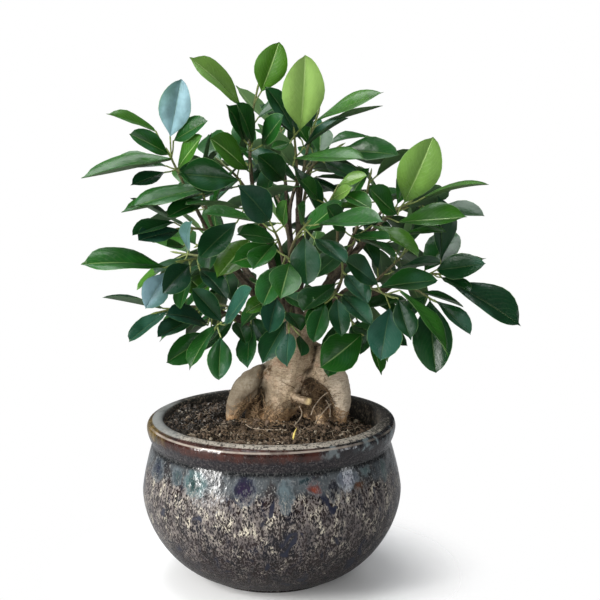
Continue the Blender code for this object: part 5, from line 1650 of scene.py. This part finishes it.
def leaf_finish():
    """A waxy fig leaf: deep green to young yellow-green by its tone, painted silvery sky sheen at its lowest
    tone, painted patches of sheen, a pale rim and faint veins.
    """
    material, mix, place = new_finish("fig_leaf")
    tone, across, along_it, under = [mix.attribute(name) for name in ("tone", "across", "along", "under")]
    side = mix.maths("ABSOLUTE", across)
    share = mix.times_plus(tone, 0.5, 0.5)
    # The lowest tone is a painted silvery-blue sky sheen; the rest run from old deep green to young
    # yellow-green.
    upper = mix.ramp(share, ((0, (0.25, 0.41, 0.47)), (0.2, (0.02, 0.088, 0.058)),
                             (0.36, (0.004, 0.033, 0.011)), (0.52, (0.005, 0.052, 0.006)),
                             (0.66, (0.012, 0.088, 0.007)), (0.82, (0.05, 0.15, 0.01)),
                             (1, (0.22, 0.37, 0.085))))
    lower = mix.ramp(share, ((0, (0.09, 0.15, 0.095)), (0.5, (0.052, 0.112, 0.044)),
                             (1, (0.14, 0.26, 0.055))))
    mottle = mix.noise(place, 55)
    shaded = mix.blend(0.45, upper, (0, 0.012, 0.004))
    patchy = mix.times(mix.step(mottle, 0.42, 0.66, 0, 0.7), mix.step(share, 0.7, 0.95, 1, 0.35))
    upper = mix.blend(patchy, upper, shaded)
    # On the lowest tones the painted sky sheen gives way to dark green across and along the blade.
    fade = mix.times_plus(across, 0.5, mix.times_plus(mottle, 0.9, along_it))
    painted_sheen_falloff = mix.step(share, 0.1, 0.24, 1, 0)
    painted_sheen_falloff = mix.times(painted_sheen_falloff, mix.step(fade, 0.9, 1.7, 0, 0.85))
    upper = mix.blend(painted_sheen_falloff, upper, (0.045, 0.115, 0.095))
    # Painted patches of bluish sheen on the darker leaves.
    painted_sheen_patch = mix.noise(place, 34, 1, 0.5)
    painted_sheen_patch = mix.times(mix.step(painted_sheen_patch, 0.53, 0.74, 0, 0.36), mix.step(share, 0.5, 0.66, 1, 0.25))
    upper = mix.blend(painted_sheen_patch, upper, (0.06, 0.165, 0.12))
    upper = mix.blend(under, upper, lower)

    # Side veins leave the midrib forwards and bend along the rim
    forward = mix.times(side, 0.34)
    bend = mix.times(mix.maths("POWER", side, 3), 0.2)
    spot = mix.maths("SUBTRACT", along_it, mix.maths("ADD", forward, bend))
    wave = mix.maths("SINE", mix.times(spot, 70))
    veins = mix.step(wave, 0.84, 1)
    fade = mix.step(side, 0.78, 0.93, 1, 0)
    veins = mix.times(veins, fade)
    rib = mix.step(side, 0.014, 0.062, 1, 0)
    rim = mix.step(side, 0.96, 0.99)
    pale = mix.blend(0.6, upper, (0.5, 0.7, 0.27))
    seen = mix.step(share, 0.45, 0.85, 0.035, 0.12)
    colour = mix.blend(mix.times(veins, seen), upper, pale)
    line = mix.step(share, 0.45, 0.85, 0.12, 0.95)
    colour = mix.blend(mix.times(rib, line), colour, pale)
    colour = mix.blend(mix.times(rim, 0.7), colour, (0.19, 0.34, 0.12))
    waxy = mix.times_plus(under, 0.26, mix.times_plus(mottle, 0.26, 0.18))
    relief = mix.maths("MAXIMUM", mix.times(veins, 0.3), rib)
    normal = mix.bump(relief, -0.0001)
    normal = mix.bump(mix.noise(place, 130, 2, 0.5), 0.0006, normal)
    return shade(material, colour, waxy, Normal=normal, Specular_IOR_Level=0.4)


def stem_finish():
    """Twig bark that turns from brown to green, as its tint says."""
    material, mix, place = new_finish("twig_and_stalk")
    tint = mix.attribute("tint")
    grain = mix.noise(place, 700)
    brown = mix.ramp(grain, ((0.35, (0.055, 0.042, 0.024)), (0.65, (0.145, 0.112, 0.066))))
    green = mix.ramp(grain, ((0.35, (0.135, 0.185, 0.045)), (0.65, (0.26, 0.31, 0.1))))
    return shade(material, mix.blend(tint, brown, green), 0.5, Normal=mix.bump(grain, 0.0002))


def petiole_points(root, leaf, sag):
    """A stalk from the twig to the blade, a little bent, running on under the midrib."""
    run = (leaf.tip - leaf.base).normalized()
    length = (leaf.tip - leaf.base).length
    middle = (root + leaf.base) / 2 - leaf.face * sag
    path = smooth_path([root, middle, leaf.base - leaf.face * 0.0003], 3)
    return path + [leaf.base + run * length * 0.05 - leaf.face * 0.0004]


def make_sprays(paths, leaves):
    """Each spray's twig, bud, stalks and blades as one piece in place of its solid."""
    draw = random.Random(SEED + 5)
    blades = blade_shapes(draw)
    tree = spray_tree()
    values = {"Blades": blades, "Sides": 7, "Leaf Finish": leaf_finish(), "Stem Finish": stem_finish()}
    for name, path in paths.items():
        strands = Strands()
        fine = smooth_path(path, FINE_STEPS)[BRANCH_CUT - 1 :]
        shares = [i / (len(fine) - 1) for i in range(len(fine))]
        run = (fine[-1] - fine[-2]).normalized()
        bud = [fine[-1] + run * reach for reach in BUD_REACH]
        thinning = [TWIG_START_RADIUS + (TWIG_END_RADIUS - TWIG_START_RADIUS) * share for share in shares]
        tints = [0.05 + 0.75 * share**2 for share in shares] + [1.0] * len(bud)
        strands.add_stem(fine + bud, thinning + BUD_RADII, tints)
        for leaf, tone, round_tip in leaves:
            if leaf.spray != name:
                continue
            root = min(fine[:-1], key=lambda spot: (spot - leaf.root).length)
            stalk = petiole_points(root, leaf, draw.uniform(0.0, 0.0012))
            first, middle, *last = STALK_RADII
            radii = [first] + [middle] * (len(stalk) - 3) + last
            strands.add_stem(stalk, radii, [0.75] + [1.0] * (len(stalk) - 1))
            kind = draw.randrange(BLADE_KINDS)
            if (leaf.tip - leaf.base).length > LARGE_LENGTH:
                kind = BLADE_KINDS + draw.randrange(LARGE_KINDS)
            if round_tip:
                kind = BLADE_KINDS + LARGE_KINDS
            strands.add_blade(leaf, kind, tone + draw.uniform(-0.08, 0.08))
        keep_piece(strands.grown("leafy_" + name, tree, values), "leaf", "spray_" + name)
    clear_away(blades)


# Loose and fibrous things round the roots

WALK_WANDER = 0.55
WALK_LIFTS = (0.6, 1.8)
MAT_LIFT = 0.0005
LOOSE_LIFT = 0.0006
LOOSE_RADII = (0.00012, 0.00026)
LOOSE_LENGTHS = (0.01, 0.034)
PALE_ROOT_RADIUS = 0.00042
HANGING_ROOT_RADIUS = 0.0004


def clear_walk(start, heading, steps, reach, ground, draw, lift):
    """A wandering path over a surface."""
    points = [start]
    for _ in range(steps):
        heading = (heading + any_way(draw) * WALK_WANDER).normalized()
        place = points[-1] + heading * reach
        spot, normal = ground.find_nearest(place)[:2]
        if not lift <= (place - spot).dot(normal) <= 4 * lift:
            place = spot + normal * lift * draw.uniform(*WALK_LIFTS)
        points.append(place)
    return points


def on_soil(x, y, lift):
    return Vector((x, y, soil_surface(x, y) + lift))


def surface_tree(*things):
    vertices, faces = [], []
    for thing in things:
        start = len(vertices)
        vertices += [vertex.co.copy() for vertex in thing.data.vertices]
        faces += [tuple(start + i for i in face.vertices) for face in thing.data.polygons]
    return BVHTree.FromPolygons(vertices, faces)


# Where fibres lie: centre and spread in millimetres, how many, longest, radius, how pale at most
FIBRE_ZONES = (
    ((-7.6, 6, 164), (1.8, 2, 2.6), 34, 7, 0.3, 0.7),
    ((-16, 9, 129), (10, 8, 7), 380, 13, 0.32, 0.9),
    ((4, 4, 126), (14, 6, 4), 150, 12, 0.28, 1.2),
    ((36, 14, 138), (10, 8, 15), 420, 16, 0.32, 0.45),
    ((46, 6, 127), (10, 8, 5), 110, 14, 0.28, 0.9),
    ((14, 2, 134), (4, 4, 6), 50, 8, 0.22, 0.5),
    ((10, 50, 128), (30, 12, 8), 140, 18, 0.3, 0.8),
    ((0, -36, 121), (58, 24, 2), 620, 13, 0.19, 0.55),
)
LOOSE_ROOTS = 120


def make_fibres(trunk, soil, tree, finishes):
    """Fine brown roots matted round the foot of the trunk, and loose ones and chips over the soil."""
    draw = random.Random(SEED + 21)
    ground = surface_tree(trunk, soil)
    mat, loose = Strands(), Strands()
    for centre, spread, count, longest, radius, pale in FIBRE_ZONES:
        centre, spread, longest, radius = metres((centre, spread, longest, radius))
        for _ in range(count):
            place = Vector(middle + draw.gauss(0, 0.55) * wide for middle, wide in zip(centre, spread))
            spot, normal = ground.find_nearest(place)[:2]
            heading = any_way(draw).normalized()
            steps = draw.randint(4, 9)
            reach = longest * draw.uniform(0.4, 1.0) / steps
            points = clear_walk(spot + normal * 0.0004, heading, steps, reach, ground, draw, MAT_LIFT)
            thick = radius * draw.uniform(0.55, 1.5)
            radii = [thick * (1 - 0.6 * i / steps) for i in range(steps + 1)]
            mat.add_stem(points, radii, [pale * draw.random()] * (steps + 1))
    keep_piece(mat.grown("root_fibres", tree, {"Sides": 4, "Finish": finishes[0]}), "bark")
    for _ in range(LOOSE_ROOTS):
        turn, away = draw.uniform(0, 6.283), 0.03 + 0.05 * math.sqrt(draw.random())
        start = on_soil(away * math.cos(turn), away * math.sin(turn), LOOSE_LIFT)
        steps = draw.randint(6, 12)
        heading = Vector((draw.uniform(-1, 1), draw.uniform(-1, 1), 0)).normalized()
        reach = draw.uniform(*LOOSE_LENGTHS) / steps
        points = clear_walk(start, heading, steps, reach, ground, draw, LOOSE_LIFT)
        thick = draw.uniform(*LOOSE_RADII)
        loose.add_stem(points, [thick] * (steps + 1), [draw.uniform(0.4, 1.0)] * (steps + 1))
    for route, thick in PALE_CHIPS:
        path = smooth_path([on_soil(x, y, 0.001) for x, y in route], 3)
        loose.add_stem(path, [0.6 * thick] + [thick] * (len(path) - 2) + [0.5 * thick], [1.6] * len(path))
    routes = [([on_soil(x, y, 0.0012) for x, y in route], PALE_ROOT_RADIUS, 1.0) for route in PALE_ROOTS]
    routes += [([unproject(*spot) for spot in route], HANGING_ROOT_RADIUS, 0.75) for route in HANGING_ROOTS]
    for spots, thick, tint in routes:
        path = smooth_path(spots, 4)
        loose.add_stem(path, [thick] * len(path), [tint] * len(path))
    keep_piece(loose.grown("loose_roots", tree, {"Sides": 5, "Finish": finishes[1]}), "bark")


# Pale roots that lie over the soil in front of the trunk
PALE_ROOTS = metres((
    ((-21, -2), (-16, -8), (-7, -12), (4, -13), (12, -14)),
    ((-31, 10), (-33, 1), (-37, -6), (-43, -10)),
    ((-48, -14), (-40, -19), (-34, -18)),
))

# Thin roots in front of the hollow under the right root: the front view's pixel and the depth of each point
HANGING_ROOTS = (
    ((311, 415, 0.0), (314, 407, 0.003), (319, 400, 0.006), (324, 395, 0.01), (331, 391, 0.013)),
    ((331, 404, 0.009), (326, 409, 0.004), (320, 416, -0.001), (315, 423, -0.008)),
    ((299, 406, 0.006), (302, 413, 0.001), (299, 420, -0.005), (294, 426, -0.012)),
    ((326, 400, 0.011), (330, 408, 0.007), (330, 417, 0.001)),
)

# Chips of wood on the soil: the (x, y) they run through and half their thickness
PALE_CHIPS = metres((
    (((-59, -22), (-56, -17.5)), 1),
    (((-45, -17), (-41.5, -21.5)), 1.2),
    (((-68.5, 4), (-66, 6)), 0.8),
))
HUSK_RADII = metres((0.5, 0.7, 0.9, 0.9, 0.7, 0.4, 0.1))
HUSK_SUNK = 0.0015
HUSK = metres(((17.2, -49, 1.5), (18, -47.5, 6.5), (19.8, -45.5, 11.5)))


def make_husk(tree, finish):
    """A thin yellow husk that stands in the soil in front of the trunk."""
    husk = Strands()
    spots = [on_soil(x, y, lift - HUSK_SUNK) for x, y, lift in HUSK]
    husk.add_stem(smooth_path(spots, 3), HUSK_RADII, [1.0] * len(HUSK_RADII))
    keep_piece(husk.grown("yellow_husk", tree, {"Sides": 6, "Finish": finish}), "bark")


def fibre_finish(name, dark, pale):
    material, mix, place = new_finish(name)
    grain = mix.noise(place, 500)
    own = mix.times_plus(grain, 0.5, mix.times(mix.attribute("tint"), 0.6))
    return shade(material, mix.ramp(own, ((0.2, dark), (0.8, pale))), 0.8)


# The studio: each light's place, size, power and colour, and whether the gloss shows it

LIT_PLACE = Vector((0.0, 0.0, 0.18))
LIGHTS = (
    ("left_pane", (-1.06, -0.5, 0.56), (0.16, 0.84), 11.0, (1.0, 0.99, 0.97), True),
    ("right_pane", (-0.92, -0.76, 0.56), (0.16, 0.84), 11.0, (1.0, 0.99, 0.97), True),
    ("sky", (-0.1, 0.15, 1.45), (0.9, 0.9), 14.5, (0.94, 0.97, 1.0), True),
    ("front", (0.05, -1.6, 0.42), (0.9, 0.9), 13.0, (1.0, 0.99, 0.97), False),
    ("back", (0.3, 1.45, 0.75), (0.9, 0.9), 7.0, (0.97, 0.98, 1.0), False),
    ("side", (1.15, -0.45, 0.38), (0.2, 0.5), 1.7, (0.95, 0.97, 1.0), True),
)
SENSOR = 36.0
FRAME_PIXELS = 600


def make_studio():
    """A white floor that runs out into white, a window to the left and soft light from the front."""
    floor = mesh_object("studio_floor", [(-3, -3, 0), (3, -3, 0), (3, 3, 0), (-3, 3, 0)], [(0, 1, 2, 3)])
    material, nodes, place = new_finish("white_floor")
    seen = nodes.put("ShaderNodeLightPath").outputs["Is Camera Ray"]
    gone = nodes.times(nodes.step(nodes.away(place), 0.085, 0.185), seen)
    white = nodes.blend(seen, (0.3, 0.3, 0.3), (0.97, 0.97, 0.97))
    floor.data.materials.append(shade(material, white, 0.9, Alpha=nodes.times_plus(gone, -1.0, 1.0)))
    world = bpy.data.worlds.new("studio")
    bpy.context.scene.world = world
    world.use_nodes = True
    nodes = Nodes(world.node_tree)
    across, _, up = nodes.axes(nodes.put("ShaderNodeTexCoord").outputs["Generated"])
    sky = nodes.ramp(up, ((0.0, (0.14, 0.14, 0.14)), (0.25, (0.34, 0.35, 0.36)), (0.75, (0.92, 0.96, 1.0))))
    in_gloss = nodes.put("ShaderNodeLightPath").outputs["Is Glossy Ray"]
    aside = nodes.times(nodes.step(across, -0.8, 0.8, 0.66, 0.15), nodes.times_plus(in_gloss, -0.5, 1.0))
    dim = nodes.put("ShaderNodeBackground", {"Color": sky, "Strength": aside}).outputs[0]
    white = nodes.put("ShaderNodeBackground", {"Color": (1.0, 1.0, 1.0, 1.0), "Strength": 1.0}).outputs[0]
    seen = nodes.put("ShaderNodeLightPath").outputs["Is Camera Ray"]
    both = nodes.put("ShaderNodeMixShader", {0: seen, 1: dim, 2: white}).outputs[0]
    nodes.join(nodes.tree.nodes["World Output"], {0: both})
    for name, spot, size, power, colour, in_gloss in LIGHTS:
        light = bpy.data.lights.new(name, "AREA")
        light.shape = "RECTANGLE"
        light.size, light.size_y = size
        light.energy = power
        light.color = colour
        lamp = placed(name, light)
        lamp.location = spot
        lamp.rotation_euler = (LIT_PLACE - Vector(spot)).to_track_quat("-Z", "Y").to_euler()
        lamp.visible_glossy = in_gloss


def make_camera():
    lens = bpy.data.cameras.new("front")
    lens.sensor_width = SENSOR
    lens.lens = SENSOR * VIEW_FOCAL / FRAME_PIXELS
    camera = placed("front", lens)
    camera.location = VIEW_PLACE
    camera.rotation_euler = (math.pi / 2 - VIEW_PITCH, 0.0, 0.0)
    bpy.context.scene.camera = camera


def main():
    bpy.context.scene.view_settings.view_transform = "Standard"
    make_studio()
    make_camera()
    paths, wood = lay_out_twigs()
    make_sprays(paths, grow_leaves(paths, wood))
    trunk = make_trunk(paths, pale_bark())
    peat = peat_finish("dark_peat", (0.013, 0.01, 0.007), (0.14, 0.106, 0.075), 0.34)
    soil = make_soil(peat)
    make_pot(reactive_glaze())
    draw = random.Random(SEED + 9)
    bars = surface_tree(trunk)
    ground = soil_ground("soil_top", 0.002, MOUTH_RADIUS - 0.0016, bars)
    far_left = soil_ground("soil_far_left", 0.03, MOUTH_RADIUS - 0.003, bars, 0.018)
    scatter = scatter_tree()
    small = crumb_shapes("crumb", 6, 1, 0.5, 0.8, draw)
    large = crumb_shapes("clod", 6, 2, 0.9, 0.7, draw)
    brown = peat_finish("brown_crumb", (0.092, 0.065, 0.045), (0.25, 0.185, 0.128), 0.34)
    pale = peat_finish("pale_chip", (0.26, 0.22, 0.165), (0.52, 0.46, 0.36), 0.4)
    for name, top, shapes, density, smallest, largest, lift, seed, finish in (
            ("fine_crumbs", ground, small, 210000.0, 0.0008, 0.0036, 0.0004, 3, peat),
            ("brown_crumbs", ground, small, 150000.0, 0.0007, 0.003, 0.0009, 5, brown),
            ("dark_clods", far_left, large, 26000.0, 0.0028, 0.0084, 0.0004, 8, peat),
            ("brown_clods", far_left, large, 9000.0, 0.0024, 0.0066, 0.0006, 11, brown),
            ("spread_clods", ground, large, 7000.0, 0.0018, 0.0064, 0.0006, 17, brown),
            ("pale_chips", ground, small, 9000.0, 0.0006, 0.0034, 0.0016, 13, pale)):
        strew(name, top, scatter, "peat", {"Shapes": shapes, "Density": density, "Smallest": smallest,
                                           "Largest": largest, "Lift": lift, "Seed": seed, "Finish": finish})
    clear_away(small, large)
    fibres = fibre_tree()
    make_fibres(trunk, soil, fibres, (fibre_finish("brown_fibre", (0.036, 0.022, 0.012), (0.42, 0.28, 0.155)),
                                      fibre_finish("pale_root", (0.12, 0.085, 0.055), (0.42, 0.34, 0.25))))
    make_husk(fibres, fibre_finish("yellow_husk", (0.45, 0.3, 0.05), (0.72, 0.58, 0.16)))


main()
